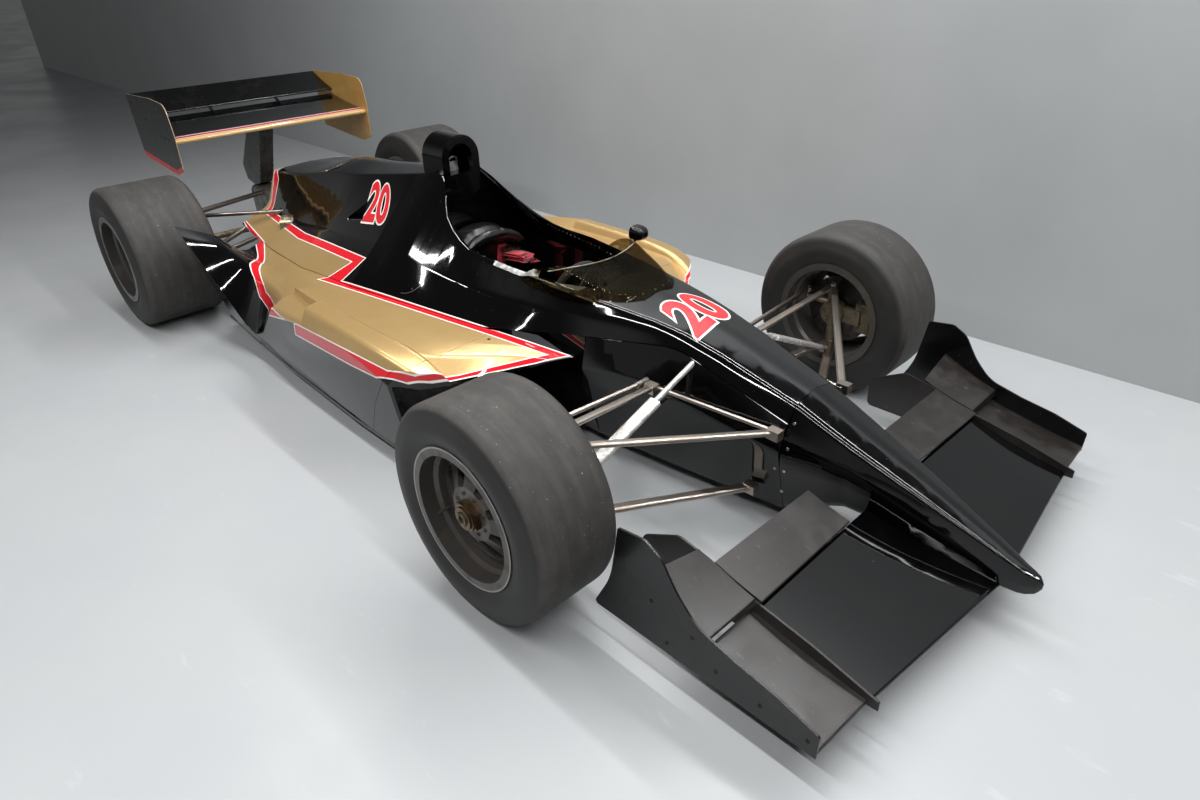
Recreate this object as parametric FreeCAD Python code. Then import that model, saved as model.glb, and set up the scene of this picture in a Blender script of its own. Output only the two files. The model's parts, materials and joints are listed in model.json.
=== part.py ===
"""Open wheel racing car of the late 1980s, built as separate panels, wings, links and wheels.

Millimetres. +X points forward, +Y to the driver's left and +Z up. The origin is on the ground,
under the middle of the car's bounding box.
"""
import FreeCAD
import Part

import math
import os

V = FreeCAD.Vector
os.makedirs("parts", exist_ok=True)

# ---------------------------------------------------------------- driving dimensions
OVERALL_LENGTH = 4682.0
NOSE_X = OVERALL_LENGTH / 2
REAR_WING_X = -OVERALL_LENGTH / 2
WHEELBASE = 2841.0
FRONT_AXLE_X = 1227.0
REAR_AXLE_X = FRONT_AXLE_X - WHEELBASE

FRONT_TYRE_RADIUS = 320.0
REAR_TYRE_RADIUS = 337.5
FRONT_WHEEL_Y = 872.0        # wheel centre to car centreline
REAR_WHEEL_Y = 798.0
FRONT_RIM_WIDTH = 270.0
REAR_RIM_WIDTH = 372.0
FRONT_TYRE_WIDTH = 295.0      # across the sidewalls
REAR_TYRE_WIDTH = 398.0
FLANGE_RADIUS = 208.0        # 15 inch rim
FLANGE_HEIGHT = 17.5
BEAD_RADIUS = FLANGE_RADIUS - FLANGE_HEIGHT
RIM_WALL = 8.0
WELL_DEPTH = 10.5
WELL_RADIUS = BEAD_RADIUS - WELL_DEPTH

SKIN = 8.0                   # carbon and honeycomb body panel
TUB_WALL = 22.0              # honeycomb tub side
FLOOR_Z = 60.0
FLOOR_THICKNESS = 14.0
POD_TOP_Z = 420.0
PANEL_GAP = 2.0
FIT = 0.5                    # running clearance at pins

BULKHEAD_X = 1627.0          # nose cone joint
HOOP_FRONT_X = -60.0
COVER_JOINT_X = -240.0       # cockpit surround to engine cover
TUB_REAR_X = -430.0
COVER_REAR_X = REAR_AXLE_X + 164

LEFT, RIGHT = 1, -1


# ---------------------------------------------------------------- shape helpers
def export(shape, node):
    shape.exportStep("parts/%s.step" % node)


# Half the angle between a corner's sides past which its arc is kept long enough to loft, and past
# which it is drawn as a line.
NEARLY_STRAIGHT = math.radians(80)
STRAIGHT = math.radians(89.95)
SHORTEST_REACH = 6.0


def rounded_wire(points, radii, closed=True):
    """Polyline through 3D points with a tangent arc of the given radius at each corner."""
    count = len(points)
    corners = []
    for i in range(count):
        point = points[i]
        radius = radii[i]
        end = not closed and i in (0, count - 1)
        if radius <= 0 or end:
            corners.append((point, None, point))
            continue
        before = points[i - 1] - point
        after = points[(i + 1) % count] - point
        length_before = before.Length
        length_after = after.Length
        before.normalize()
        after.normalize()
        half = before.getAngle(after) / 2
        reach = radius / math.tan(half)
        if half > NEARLY_STRAIGHT:
            reach = max(reach, SHORTEST_REACH)
        reach = min(reach, 0.49 * length_before, 0.49 * length_after)
        start = point + before * reach
        finish = point + after * reach
        if half > STRAIGHT:
            corners.append((start, None, finish))
            continue
        radius = reach * math.tan(half)
        inward = (before + after).normalize()
        middle = point + inward * (radius / math.sin(half) - radius)
        corners.append((start, middle, finish))
    edges = []
    for i in range(count):
        start, middle, finish = corners[i]
        if middle is not None:
            edges.append(Part.Arc(start, middle, finish).toShape())
        elif (finish - start).Length > 0:
            edges.append(Part.makeLine(start, finish))
        if closed or i < count - 1:
            edges.append(Part.makeLine(finish, corners[(i + 1) % count][0]))
    return Part.Wire(edges)


def inset(path, wall):
    """Offset an open path of (y, z, radius) corners by wall to the right of its direction."""
    moved = []
    last = len(path) - 1
    for i, (y, z, radius) in enumerate(path):
        here = V(y, z, 0)
        directions = []
        if i > 0:
            directions.append((here - V(path[i - 1][0], path[i - 1][1], 0)).normalize())
        if i < last:
            directions.append((V(path[i + 1][0], path[i + 1][1], 0) - here).normalize())
        normals = [V(d.y, -d.x, 0) for d in directions]
        mean = normals[0]
        if len(normals) == 2:
            mean = (normals[0] + normals[1]).normalize()
        step = wall / mean.dot(normals[0])
        if radius > 0:
            right_turn = len(directions) == 2 and directions[0].cross(directions[1]).z < 0
            radius = max(radius - wall, 1.0) if right_turn else radius + wall
        moved.append((y + mean.x * step, z + mean.y * step, radius))
    return moved


def mirrored(half):
    """Left half of a section, listed from the ground up to the crown at y = 0, made whole."""
    right = [(-y, z, r) for y, z, r in half]
    left = [(y, z, r) for y, z, r in reversed(half) if y > 0]
    return right + left


def section(x, corners):
    """Closed wire in the plane at x from (y, z, radius) corners."""
    points = [V(x, y, z) for y, z, r in corners]
    return rounded_wire(points, [r for y, z, r in corners])


def skin_section(x, path, wall=SKIN):
    """Closed wire of an open path given a wall thickness on its inner side."""
    inner = inset(path, wall)
    return section(x, [(y, z, r) for y, z, r in path] + list(reversed(inner)))


def loft(wires, ruled=False):
    return Part.makeLoft(wires, True, ruled)


def refined(rows, steps):
    """Table rows with smooth steps put between them: each column a cubic along the first."""
    last = len(rows) - 1
    slopes = []
    for i in range(last + 1):
        before = rows[max(i - 1, 0)]
        after = rows[min(i + 1, last)]
        slopes.append([(b - a) / (after[0] - before[0]) for a, b in zip(before, after)])
    fine = []
    for i in range(last):
        span = rows[i + 1][0] - rows[i][0]
        for step in range(steps):
            t = step / steps
            start = 1 - t * t * (3 - 2 * t)
            leave = t * (1 - t) * (1 - t) * span
            arrive = t * t * (t - 1) * span
            fine.append(tuple(
                a * start + b * (1 - start) + m * leave + n * arrive
                for a, b, m, n in zip(rows[i], rows[i + 1], slopes[i], slopes[i + 1])))
    return fine + [rows[last]]


def prism_xz(points, radii, y_low, y_high):
    """Outline of (x, z) points extruded between two y planes."""
    wire = rounded_wire([V(x, y_low, z) for x, z in points], radii)
    return Part.Face(wire).extrude(V(0, y_high - y_low, 0))


def prism_xy(points, radii, z_low, z_high):
    """Outline of (x, y) points extruded between two z planes."""
    wire = rounded_wire([V(x, y, z_low) for x, y in points], radii)
    return Part.Face(wire).extrude(V(0, 0, z_high - z_low))


def box(x_low, x_high, y_low, y_high, z_low, z_high):
    return Part.makeBox(x_high - x_low, y_high - y_low, z_high - z_low, V(x_low, y_low, z_low))


def cylinder_y(radius, x, z, y_low, y_high):
    return Part.makeCylinder(radius, y_high - y_low, V(x, y_low, z), V(0, 1, 0))


def rod(start, end, radius):
    """Round bar between two points."""
    a = V(*start)
    b = V(*end)
    return Part.makeCylinder(radius, (b - a).Length, a, b - a)


def blade(start, end, width, thickness):
    """Streamlined link: a flat oval section, long in x, between two points."""
    a = V(*start)
    b = V(*end)
    along = (b - a).normalize()
    wide = (V(1, 0, 0) - along * along.x).normalize()
    thick = along.cross(wide)
    half = thickness / 2
    reach = width / 2 - half
    top_left = a - wide * reach + thick * half
    top_right = a + wide * reach + thick * half
    bottom_right = a + wide * reach - thick * half
    bottom_left = a - wide * reach - thick * half
    edges = [
        Part.makeLine(top_left, top_right),
        Part.Arc(top_right, a + wide * (reach + half), bottom_right).toShape(),
        Part.makeLine(bottom_right, bottom_left),
        Part.Arc(bottom_left, a - wide * (reach + half), top_left).toShape(),
    ]
    return Part.Face(Part.Wire(edges)).extrude(b - a)


def fuse(shapes):
    whole = shapes[0]
    if len(shapes) > 1:
        whole = whole.multiFuse(shapes[1:])
    return whole.removeSplitter()


def largest(shape):
    """The piece itself, without the chips that a cut leaves behind."""
    return max(shape.Solids, key=lambda solid: solid.Volume)


def mirror_y(shape):
    return shape.mirror(V(0, 0, 0), V(0, 1, 0))


def side_of(shape, side):
    """Shapes are drawn on the left, and mirrored for the right."""
    if side == LEFT:
        return shape
    return mirror_y(shape)


def pair(shape):
    return Part.makeCompound([shape, mirror_y(shape)])


def revolve_y(profile, radii, x, z):
    """Turn an outline of (radius, y) points about a wheel axis through (x, z)."""
    wire = rounded_wire([V(x, y, z + r) for r, y in profile], radii)
    return Part.Face(wire).revolve(V(x, 0, z), V(0, 1, 0), 360)


def aerofoil(y, lead, trail, thickness):
    """Wing section between a leading and a trailing (x, z) point, the belly side down."""
    lead_point = V(lead[0], y, lead[1])
    trail_point = V(trail[0], y, trail[1])
    chord = trail_point - lead_point
    down = V(-chord.z, 0, chord.x).normalize()
    if down.z > 0:
        down = down * -1
    top = lead_point + chord * 0.4 + down * (0.1 * thickness)
    belly = lead_point + chord * 0.35 + down * thickness
    edge = down * 4.0
    nose_top = lead_point + chord * 0.03 - down * (0.16 * thickness)
    nose_low = lead_point + chord * 0.03 + down * (0.5 * thickness)
    edges = [
        Part.Arc(nose_top, top, trail_point).toShape(),
        Part.makeLine(trail_point, trail_point + edge),
        Part.Arc(trail_point + edge, belly, nose_low).toShape(),
        Part.Arc(nose_low, lead_point, nose_top).toShape(),
    ]
    return Part.Wire(edges)


# ---------------------------------------------------------------- steering rack, which the tub is bored for
RACK_X = FRONT_AXLE_X - 75
RACK_Z = 387.0
RACK_RADIUS = 11.0
RACK_CLEARANCE = 2.0


# ---------------------------------------------------------------- survival cell and its covers
# Upper skin of the body. Columns: x, foot half width, foot z, hip half width, hip z,
# shoulder half width, shoulder z, crown z. The foot is the seam with the tub or the sidepod.
UPPER = [
    (BULKHEAD_X, 127, 388, 110, 412, 93, 433, 454),
    (FRONT_AXLE_X, 152, 507, 138, 527, 121, 543, 562),
    (900, 235, 470, 212, 530, 172, 577, 602),
    (480, 372, POD_TOP_Z, 268, 500, 218, 603, 640),
    (240, 410, POD_TOP_Z, 300, 510, 215, 614, 660),
    (60, 440, POD_TOP_Z, 325, 540, 176, 694, 730),
    (HOOP_FRONT_X, 460, POD_TOP_Z, 335, 565, 92, 819, 836),
    (COVER_JOINT_X, 486, POD_TOP_Z, 336, 565, 106, 800, 820),
]
# Engine cover, in the same columns, with its hip as the fillet above the deck.
COVER = [
    (COVER_JOINT_X - PANEL_GAP, 486, POD_TOP_Z, 336, 565, 106, 800, 820),
    (-650, 505, 404, 330, 520, 152, 742, 777),
    (-880, 480, 394, 322, 492, 160, 716, 762),
    (-1080, 462, 390, 318, 478, 178, 684, 712),
    (-1200, 446, 394, 308, 474, 190, 668, 686),
    (COVER_REAR_X, 424, 418, 268, 480, 200, 646, 656),
]
# Lower skin of the tub ahead of the sidepods.
# Columns: x, waist half width, waist z, floor half width.
LOWER = [
    (BULKHEAD_X, 168, 304, 104),
    (FRONT_AXLE_X, 212, 370, 155),
    (900, 262, 360, 185),
]
HIP_RADIUS = 90.0
SHOULDER_RADIUS = 26.0
CROWN_RADIUS = 160.0
TUB_HALF_WIDTH = 262.0       # beside the driver
TUB_FLOOR_HALF_WIDTH = 185.0
TUB_WAIST_Z = 300.0
TUB_TOP_Z = 480.0            # before the seam with the upper skin trims it
TUB_TUMBLEHOME = 20.0        # how far the sides lean in above the waist
CELL_FRONT_X = 900.0
COCKPIT_FRONT_X = 850.0
SKIRT_DEPTH = 30.0           # how far an envelope reaches below the skin's foot
TRIM = 12.0                  # how far skins are drawn past a seam before it trims them
SEAM_RADIUS = 300.0
LOFT_STEPS = 3               # straight steps between a table's rows
POD_STEPS = 2
# Side view of the seam under the upper skin: x, z, corner radius.
SIDE_SEAM = [
    (BULKHEAD_X + 50, 373, 0),
    (FRONT_AXLE_X, 507, SEAM_RADIUS),
    (900, 470, SEAM_RADIUS),
    (480, POD_TOP_Z, SEAM_RADIUS),
    (TUB_REAR_X - 1, POD_TOP_Z, 0),
]
# Where the seam with the decks starts: x, half width.
PLAN_SEAM_FRONT = (560, 346)
SEAM_STEP = 3.0              # how far inside the feet of the skins it runs
HIGH = 1200.0                # above the whole car
WIDE = 1100.0                # past its sides


def upper_half(row):
    x, foot_y, foot_z, hip_y, hip_z, shoulder_y, shoulder_z, crown_z = row
    return [(foot_y, foot_z, 0), (hip_y, hip_z, HIP_RADIUS),
            (shoulder_y, shoulder_z, SHOULDER_RADIUS), (0, crown_z, CROWN_RADIUS)]


def cockpit_opening():
    """Plan outline of the cockpit mouth, through the shoulders of the upper skin."""
    # Columns: x, half width, corner radius
    half = [
        (HOOP_FRONT_X, 92, 0),
        (-10, 122, 60),
        (60, 170, 200),
        (240, 208, 400),
        (480, 211, 400),
        (700, 186, 200),
        (COCKPIT_FRONT_X, 120, 60),
    ]
    whole = half + [(x, -y, r) for x, y, r in reversed(half)]
    return prism_xy([(x, y) for x, y, r in whole], [r for x, y, r in whole], POD_TOP_Z, HIGH)


def upper_skin(rows):
    """Skin through a table's rows, drawn past its foot."""
    wires = []
    for row in refined(rows, LOFT_STEPS):
        half = upper_half(row)
        (foot_y, foot_z, _), (hip_y, hip_z, _) = half[:2]
        share = TRIM / (hip_z - foot_z)
        half[0] = (foot_y + share * (foot_y - hip_y), foot_z - TRIM, 0)
        wires.append(skin_section(row[0], mirrored(half)))
    return loft(wires, True)


def above_seam(gap):
    """Space over the seam under the upper skin, moved up by a gap."""
    outline = [(x, z + gap) for x, z, r in SIDE_SEAM]
    outline += [(SIDE_SEAM[-1][0], HIGH), (SIDE_SEAM[0][0], HIGH)]
    return prism_xz(outline, [r for x, z, r in SIDE_SEAM] + [0, 0], -WIDE, WIDE)


def inside_seam(gap):
    """Space between the seams with the decks in plan, widened by a gap."""
    feet = [(row[0], row[1]) for row in UPPER[3:] + COVER[1:]]
    half = [PLAN_SEAM_FRONT] + feet + [(COVER_REAR_X - 50, feet[-1][1])]
    left = [(x, y - SEAM_STEP + gap) for x, y in half]
    radii = [0] + [SEAM_RADIUS] * len(feet) + [0]
    whole = left + [(x, -y) for x, y in reversed(left)]
    return prism_xy(whole, radii + radii, FLOOR_Z, HIGH)


def top_cover():
    """Cockpit surround and front deck, open over the driver and cut round the roll hoop."""
    skin = upper_skin(UPPER).common(above_seam(0))
    beside_decks = box(COVER_REAR_X, PLAN_SEAM_FRONT[0], -WIDE, WIDE, 0, HIGH).cut(inside_seam(0))
    return skin.cut(beside_decks).cut(cockpit_opening()).cut(roll_hoop_envelope())


def envelope(rows, gap=PANEL_GAP):
    """Everything inside the outer surface of a skin and the gap round it."""
    wires = []
    for row in refined(rows, LOFT_STEPS):
        path = inset(mirrored(upper_half(row)), -gap)
        foot_y, foot_z = path[0][0], path[0][1]
        skirt_z = foot_z - SKIRT_DEPTH
        wires.append(section(row[0], [(foot_y, skirt_z, 0)] + path + [(-foot_y, skirt_z, 0)]))
    return loft(wires, True)


def cell(x_front, x_rear, wall):
    """Tub beside the driver: its outer shape, or with a wall taken off, its inside."""
    half = [
        (TUB_FLOOR_HALF_WIDTH, FLOOR_Z, 20),
        (TUB_HALF_WIDTH, TUB_WAIST_Z, 80),
        (TUB_HALF_WIDTH - TUB_TUMBLEHOME, TUB_TOP_Z, 0),
    ]
    path = mirrored_open(half)
    if wall:
        floor_z = FLOOR_Z + wall
        inner = inset(path, -wall)
        inner[2] = (inner[2][0], floor_z, inner[2][2])
        inner[3] = (inner[3][0], floor_z, inner[3][2])
        path = inner
    return loft([section(x, path) for x in (x_front, x_rear)], True)


def mirrored_open(half):
    """Left half of a trough, listed from its floor up, made whole from rim to rim."""
    right = [(-y, z, r) for y, z, r in reversed(half)]
    return right + half


def tub_front_outline(row, wall):
    """Section of the tub ahead of the sidepods, with its sides and roof moved in by wall."""
    foot_y, foot_z = row[1:3]
    waist_y, waist_z, floor_y = row[-3:]
    lean = 0.6 * wall
    half = [
        (floor_y - lean, FLOOR_Z + wall, 20),
        (waist_y - wall, waist_z, 60),
        (foot_y - wall, foot_z - wall if wall else foot_z + TRIM, 0),
    ]
    return [(-y, z, r) for y, z, r in half] + list(reversed(half))


def front_tub(wall):
    rows = refined([row + low[1:] for row, low in zip(UPPER, LOWER)], LOFT_STEPS)
    return loft([section(row[0], tub_front_outline(row, wall)) for row in rows], True)


LINER_FRONT_X = 480.0
LINER_TOP_Z = 528.0          # inner walls of the cockpit, up inside its surround
LINER_THICKNESS = 18.0


def monocoque():
    """Honeycomb tub, hollow round the driver and bored for the steering rack."""
    body = fuse([front_tub(0), cell(CELL_FRONT_X, TUB_REAR_X, 0)])
    footwell = box(CELL_FRONT_X - 40, BULKHEAD_X - TUB_WALL, -WIDE, WIDE, 0, HIGH)
    body = body.cut(front_tub(TUB_WALL).common(footwell))
    body = body.cut(cell(CELL_FRONT_X + 1, HOOP_FRONT_X, TUB_WALL))
    rack_bore = cylinder_y(RACK_RADIUS + RACK_CLEARANCE, RACK_X, RACK_Z, -WIDE, WIDE)
    body = body.cut(rack_bore).cut(above_seam(-PANEL_GAP))
    outer_y = TUB_HALF_WIDTH - TUB_TUMBLEHOME + 2
    wall = box(HOOP_FRONT_X, LINER_FRONT_X, outer_y - LINER_THICKNESS, outer_y,
               POD_TOP_Z - 2 * TUB_WALL, LINER_TOP_Z)
    return fuse([body, wall, mirror_y(wall)])


BULKHEAD_THICKNESS = 12.0


def cockpit_bulkhead():
    """Panel behind the driver's head, inside the cockpit surround."""
    row = UPPER[6]
    corners = inset(mirrored(upper_half(row)), SKIN + 3)
    front = HOOP_FRONT_X - 4
    panel = loft([section(x, corners) for x in (front, front - BULKHEAD_THICKNESS)], True)
    above_tub = box(-WIDE, 0, -WIDE, WIDE, POD_TOP_Z, HIGH)
    return panel.common(above_tub).cut(roll_hoop_envelope())


# ---------------------------------------------------------------- nose cone
NOSE_LENGTH = NOSE_X - BULKHEAD_X
NOSE_STEPS = 2
# Columns: x, belly z, belly half width, waist half width, waist z,
# shoulder half width, shoulder z, crown z.
NOSE = [
    (BULKHEAD_X + PANEL_GAP, FLOOR_Z, 104, 168, 304, 93, 433, 454),
    (BULKHEAD_X + 0.258 * NOSE_LENGTH, 150, 85, 112, 280, 84, 360, 380),
    (BULKHEAD_X + 0.538 * NOSE_LENGTH, 132, 66, 80, 220, 62, 284, 300),
    (BULKHEAD_X + 0.818 * NOSE_LENGTH, 104, 40, 46, 150, 34, 203, 212),
    (NOSE_X - 50, 96, 25, 29, 132, 21, 168, 174),
    (NOSE_X - 12, 109, 12, 16, 134, 11, 156, 160),
    (NOSE_X, 128, 3, 4, 135, 3, 141, 143),
]


def nose_cone():
    wires = []
    for row in refined(NOSE, NOSE_STEPS):
        x, belly_z, belly_y, waist_y, waist_z, shoulder_y, shoulder_z, crown_z = row
        half = [
            (belly_y, belly_z, 0.4 * belly_y),
            (waist_y, waist_z, 1.2 * waist_y),
            (shoulder_y, shoulder_z, 0.35 * shoulder_y),
            (0, crown_z, 1.2 * shoulder_y),
        ]
        wires.append(section(x, mirrored(half)))
    return loft(wires, True)


# ---------------------------------------------------------------- roll hoop
HOOP_TOP_Z = 962.0
HOOP_BASE_Z = 812.0
HOOP_HALF_WIDTH = 90.0
HOOP_TUBE = 34.0
HOOP_DEPTH = 140.0
HOOP_FOOT = 30.0              # stands this far inside the cover
HOOP_BACK = 24.0              # closed wall behind the opening


def roll_hoop():
    def arch(half, top, x_front, x_rear):
        points = [V(x_front, -half, HOOP_BASE_Z - HOOP_FOOT), V(x_front, -half, top - half),
                  V(x_front, half, top - half), V(x_front, half, HOOP_BASE_Z - HOOP_FOOT)]
        edges = [
            Part.makeLine(points[0], points[1]),
            Part.Arc(points[1], V(x_front, 0, top), points[2]).toShape(),
            Part.makeLine(points[2], points[3]),
            Part.makeLine(points[3], points[0]),
        ]
        return Part.Face(Part.Wire(edges)).extrude(V(x_rear - x_front, 0, 0))

    outer = arch(HOOP_HALF_WIDTH, HOOP_TOP_Z, HOOP_FRONT_X, HOOP_FRONT_X - HOOP_DEPTH)
    inner_half = HOOP_HALF_WIDTH - HOOP_TUBE
    inner = arch(inner_half, HOOP_TOP_Z - HOOP_TUBE, HOOP_FRONT_X + 5,
                 HOOP_FRONT_X - HOOP_DEPTH + HOOP_BACK)
    return outer.cut(inner.common(box(-WIDE, WIDE, -WIDE, WIDE, HOOP_BASE_Z, HIGH)))


def roll_hoop_envelope():
    """Room for the roll hoop in the skins that it stands through."""
    reach = HOOP_HALF_WIDTH + 1
    return box(HOOP_FRONT_X - HOOP_DEPTH - 1, HOOP_FRONT_X + 1, -reach, reach,
               HOOP_BASE_Z - HOOP_FOOT - 1, HIGH)


# ---------------------------------------------------------------- engine cover
# Rods that pass through the engine cover. Columns: start, end, radius.
REAR_JOINT_Y = 640.0
REAR_UPPER_JOINT = (REAR_AXLE_X - 8, REAR_JOINT_Y, 470)
REAR_LOWER_JOINT = (REAR_AXLE_X, REAR_JOINT_Y, 222)
UPPER_LINKS = [
    ((REAR_AXLE_X + 420, 226, 491), REAR_UPPER_JOINT, 10),
    ((REAR_AXLE_X - 366, 70, 416), REAR_UPPER_JOINT, 13),
]
REAR_PUSHRODS = [((REAR_AXLE_X + 24, 612, 262), (REAR_AXLE_X + 203, 150, 500), 12)]
ROD_PASSAGE = 6.0            # room round a rod where it passes through a skin

TAILPIPE = ((-1060, -250, 452), (-1150, -330, 446))
TAILPIPE_RADIUS = 52.0
TAILPIPE_WALL = 3.0

# Three cornered cooling vent in the right flank, as (x, z) corners.
VENT = [(-470, 668), (-580, 582), (-440, 606)]


def engine_cover():
    """Cover with a filleted foot, open round the rods, the tailpipe and the vent."""
    shell = upper_skin(COVER).common(inside_seam(0))
    for start, end, radius in UPPER_LINKS + REAR_PUSHRODS:
        shell = shell.cut(pair(rod(start, end, radius + ROD_PASSAGE)))
    shell = shell.cut(rod(*TAILPIPE, TAILPIPE_RADIUS + PANEL_GAP))
    return shell.cut(prism_xz(VENT, [6] * 3, -WIDE, 0))


# ---------------------------------------------------------------- engine and gearbox
ENGINE_LENGTH = 590.0
ENGINE_HALF_WIDTH = 235.0
ENGINE_LOW_Z = 90.0
ENGINE_HEAD_Z = 430.0
ENGINE_TOP_Z = 560.0
GEARBOX_REAR_X = REAR_AXLE_X - 556
SHAFT_Z = REAR_TYRE_RADIUS
OUTPUT_FLANGE_Y = 150.0
OUTPUT_RADIUS = 72.0


def engine_block():
    half = [(150, ENGINE_LOW_Z, 20), (ENGINE_HALF_WIDTH, ENGINE_HEAD_Z, 20), (160, ENGINE_TOP_Z, 20)]
    outline = [(-y, z, r) for y, z, r in half] + list(reversed(half))
    return loft([section(x, outline) for x in (TUB_REAR_X, TUB_REAR_X - ENGINE_LENGTH)], True)


# Columns: x, half width, low z, high z, corner radius
GEARBOX = [
    (TUB_REAR_X - ENGINE_LENGTH, 180, 130, 480, 40),
    (REAR_AXLE_X + 264, 120, 200, 450, 40),
    (REAR_AXLE_X - 186, 105, 215, 440, 40),
    (GEARBOX_REAR_X, 70, 250, 420, 30),
]
STARTER_BORE_RADIUS = 20.0
STARTER_BORE_DEPTH = 60.0
STARTER_Z = 300.0


def gearbox():
    wires = []
    for x, half, low, high, radius in GEARBOX:
        corners = [(-half, low, radius), (-half, high, radius), (half, high, radius),
                   (half, low, radius)]
        wires.append(section(x, corners))
    case = loft(wires, True)
    outputs = cylinder_y(OUTPUT_RADIUS, REAR_AXLE_X, SHAFT_Z, -OUTPUT_FLANGE_Y, OUTPUT_FLANGE_Y)
    bore = Part.makeCylinder(STARTER_BORE_RADIUS, STARTER_BORE_DEPTH + 1,
                             V(GEARBOX_REAR_X - 1, 0, STARTER_Z), V(1, 0, 0))
    return fuse([case, outputs]).cut(bore)


# ---------------------------------------------------------------- sidepods
# Skin of the left sidepod from its inner seam, over the deck and down to the floor.
# Columns: x, seam half width, seam z, inner deck half width, inner deck z, outer deck half width,
# outer deck z, edge half width, edge z, floor half width.
POD_REAR_X = -390.0
POD_FRONT_X = 885.0
POD_REAR_ROW = (POD_REAR_X, 484, 416, 600, 409, 700, 396, 765, 368, 724)
POD = [
    (POD_FRONT_X, 205, 408, 290, 406, 330, 404, 764, 300, 740),
    (748, 250, 416, 340, 413, 400, 405, 764, 285, 740),
    (628, 290, 419, 420, 417, 520, 408, 764, 273, 740),
    (536, 330, 420, 480, 419, 610, 414, 765, 324, 740),
    (440, 365, 420, 520, 420, 650, 417, 768, 362, 741),
    (240, 391, 420, 540, 420, 690, 418, 770, 397, 742),
    (-60, 441, 420, 560, 419, 695, 414, 768, 391, 734),
    POD_REAR_ROW,
]
DECK_RADIUS = 60.0
EDGE_RADIUS = 26.0
# Plan of the intake's lip, from the side of the tub out to the side plate: x, half width, radius.
LIP = [
    (890, 200, 0),
    (872, 290, 30),
    (800, 420, 200),
    (680, 565, 200),
    (572, 700, 120),
    (470, 775, 0),
]
# Side view of the joint between the intake and the sidepod: x, z.
INTAKE_SEAM = [(556, HIGH), (556, 408), (498, 396), (347, 213), (253, 40)]


def deck_path(row, edge_radius):
    x, seam_y, seam_z, inner_y, inner_z, outer_y, outer_z, edge_y, edge_z, floor_y = row
    return [(seam_y, seam_z, 0), (inner_y, inner_z, DECK_RADIUS), (outer_y, outer_z, DECK_RADIUS),
            (edge_y, edge_z, edge_radius), (floor_y, FLOOR_Z, 0)]


def pod_shell():
    """Sidepod and intake in one, fitted round the body and cut along the lip."""
    rows = refined(POD, POD_STEPS)
    shell = loft([skin_section(row[0], deck_path(row, EDGE_RADIUS)) for row in rows], True)
    shell = fuse([shell, pod_bulge().cut(shell), bulge_tail().cut(shell)])
    shell = shell.cut(inside_seam(PANEL_GAP)).cut(cell(POD_FRONT_X + 1, TUB_REAR_X, -PANEL_GAP))
    plan = [(POD_REAR_X - 1, 0, 0)] + [(LIP[0][0], 0, 0)] + LIP + [(LIP[-1][0], 900, 0)]
    plan += [(POD_REAR_X - 1, 900, 0)]
    return shell.common(prism_xy([(x, y) for x, y, r in plan], [r for x, y, r in plan], 0, HIGH))


def ahead_of_seam(gap):
    """Space in front of the intake's joint, moved back by a gap."""
    outline = [(x - gap, z) for x, z in INTAKE_SEAM]
    outline += [(POD_FRONT_X + 100, INTAKE_SEAM[-1][1]), (POD_FRONT_X + 100, HIGH)]
    return prism_xz(outline, [0] * len(outline), 0, WIDE)


def pod_bulge():
    """Long blister along the outer edge of the deck, cut off square at its rear."""
    # Columns: x, inner half width, inner z, crest half width, crest z, brow half width, brow z,
    # outer half width, outer z
    rows = [
        (640, 612, 340, 632, 374, 690, 350, 724, 280),
        (560, 622, 384, 642, 420, 718, 396, 750, 310),
        (470, 630, 400, 650, 441, 736, 424, 765, 350),
        (300, 640, 408, 662, 450, 742, 436, 768, 380),
        (-120, 640, 406, 668, 452, 740, 440, 766, 376),
    ]
    wires = []
    for x, inner_y, inner_z, crest_y, crest_z, brow_y, brow_z, outer_y, outer_z in refined(rows, 2):
        corners = [(inner_y, inner_z, 0), (crest_y, crest_z, 24), (brow_y, brow_z, 30),
                   (outer_y, outer_z, 0)]
        wires.append(section(x, corners))
    return loft(wires, True)


def bulge_tail():
    """Fold in the deck that tapers away behind the blister."""
    # Columns: x, inner half width, inner z, ridge half width, ridge z, outer half width, outer z
    rows = [
        (-119, 640, 405, 688, 450, 694, 400),
        (-520, 606, 396, 634, 408, 636, 396),
    ]
    wires = []
    for x, inner_y, inner_z, ridge_y, ridge_z, outer_y, outer_z in rows:
        corners = [(inner_y, inner_z, 0), (ridge_y, ridge_z, 0), (outer_y, outer_z, 0)]
        wires.append(section(x, corners))
    return loft(wires, True).common(box(POD_REAR_X, HIGH, 0, WIDE, 0, HIGH))


# ---------------------------------------------------------------- radiators
RADIATOR_SWEEP = 18.0        # degrees from square across the pod


def radiator(side):
    core = box(-30, 30, 300, 715, FLOOR_Z + 20, 390)
    core.rotate(V(0, 520, 0), V(0, 0, 1), RADIATOR_SWEEP)
    core.translate(V(330, 0, 0))
    return side_of(core, side)


# ---------------------------------------------------------------- floor and rear ramps
FLOOR_FRONT_X = 800.0
FLOOR_REAR_X = REAR_AXLE_X + 424


def underfloor():
    # Columns: x, half width, corner radius
    half = [
        (FLOOR_FRONT_X, 190, 0),
        (640, 640, 120),
        (520, 742, 60),
        (118, 743, 0),
        (-481, 722, 0),
        (FLOOR_REAR_X - 38, 670, 0),
    ]
    whole = [(x, -y, r) for x, y, r in half] + list(reversed(half))
    return prism_xy([(x, y) for x, y, r in whole], [r for x, y, r in whole],
                    FLOOR_Z - FLOOR_THICKNESS, FLOOR_Z)


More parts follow.
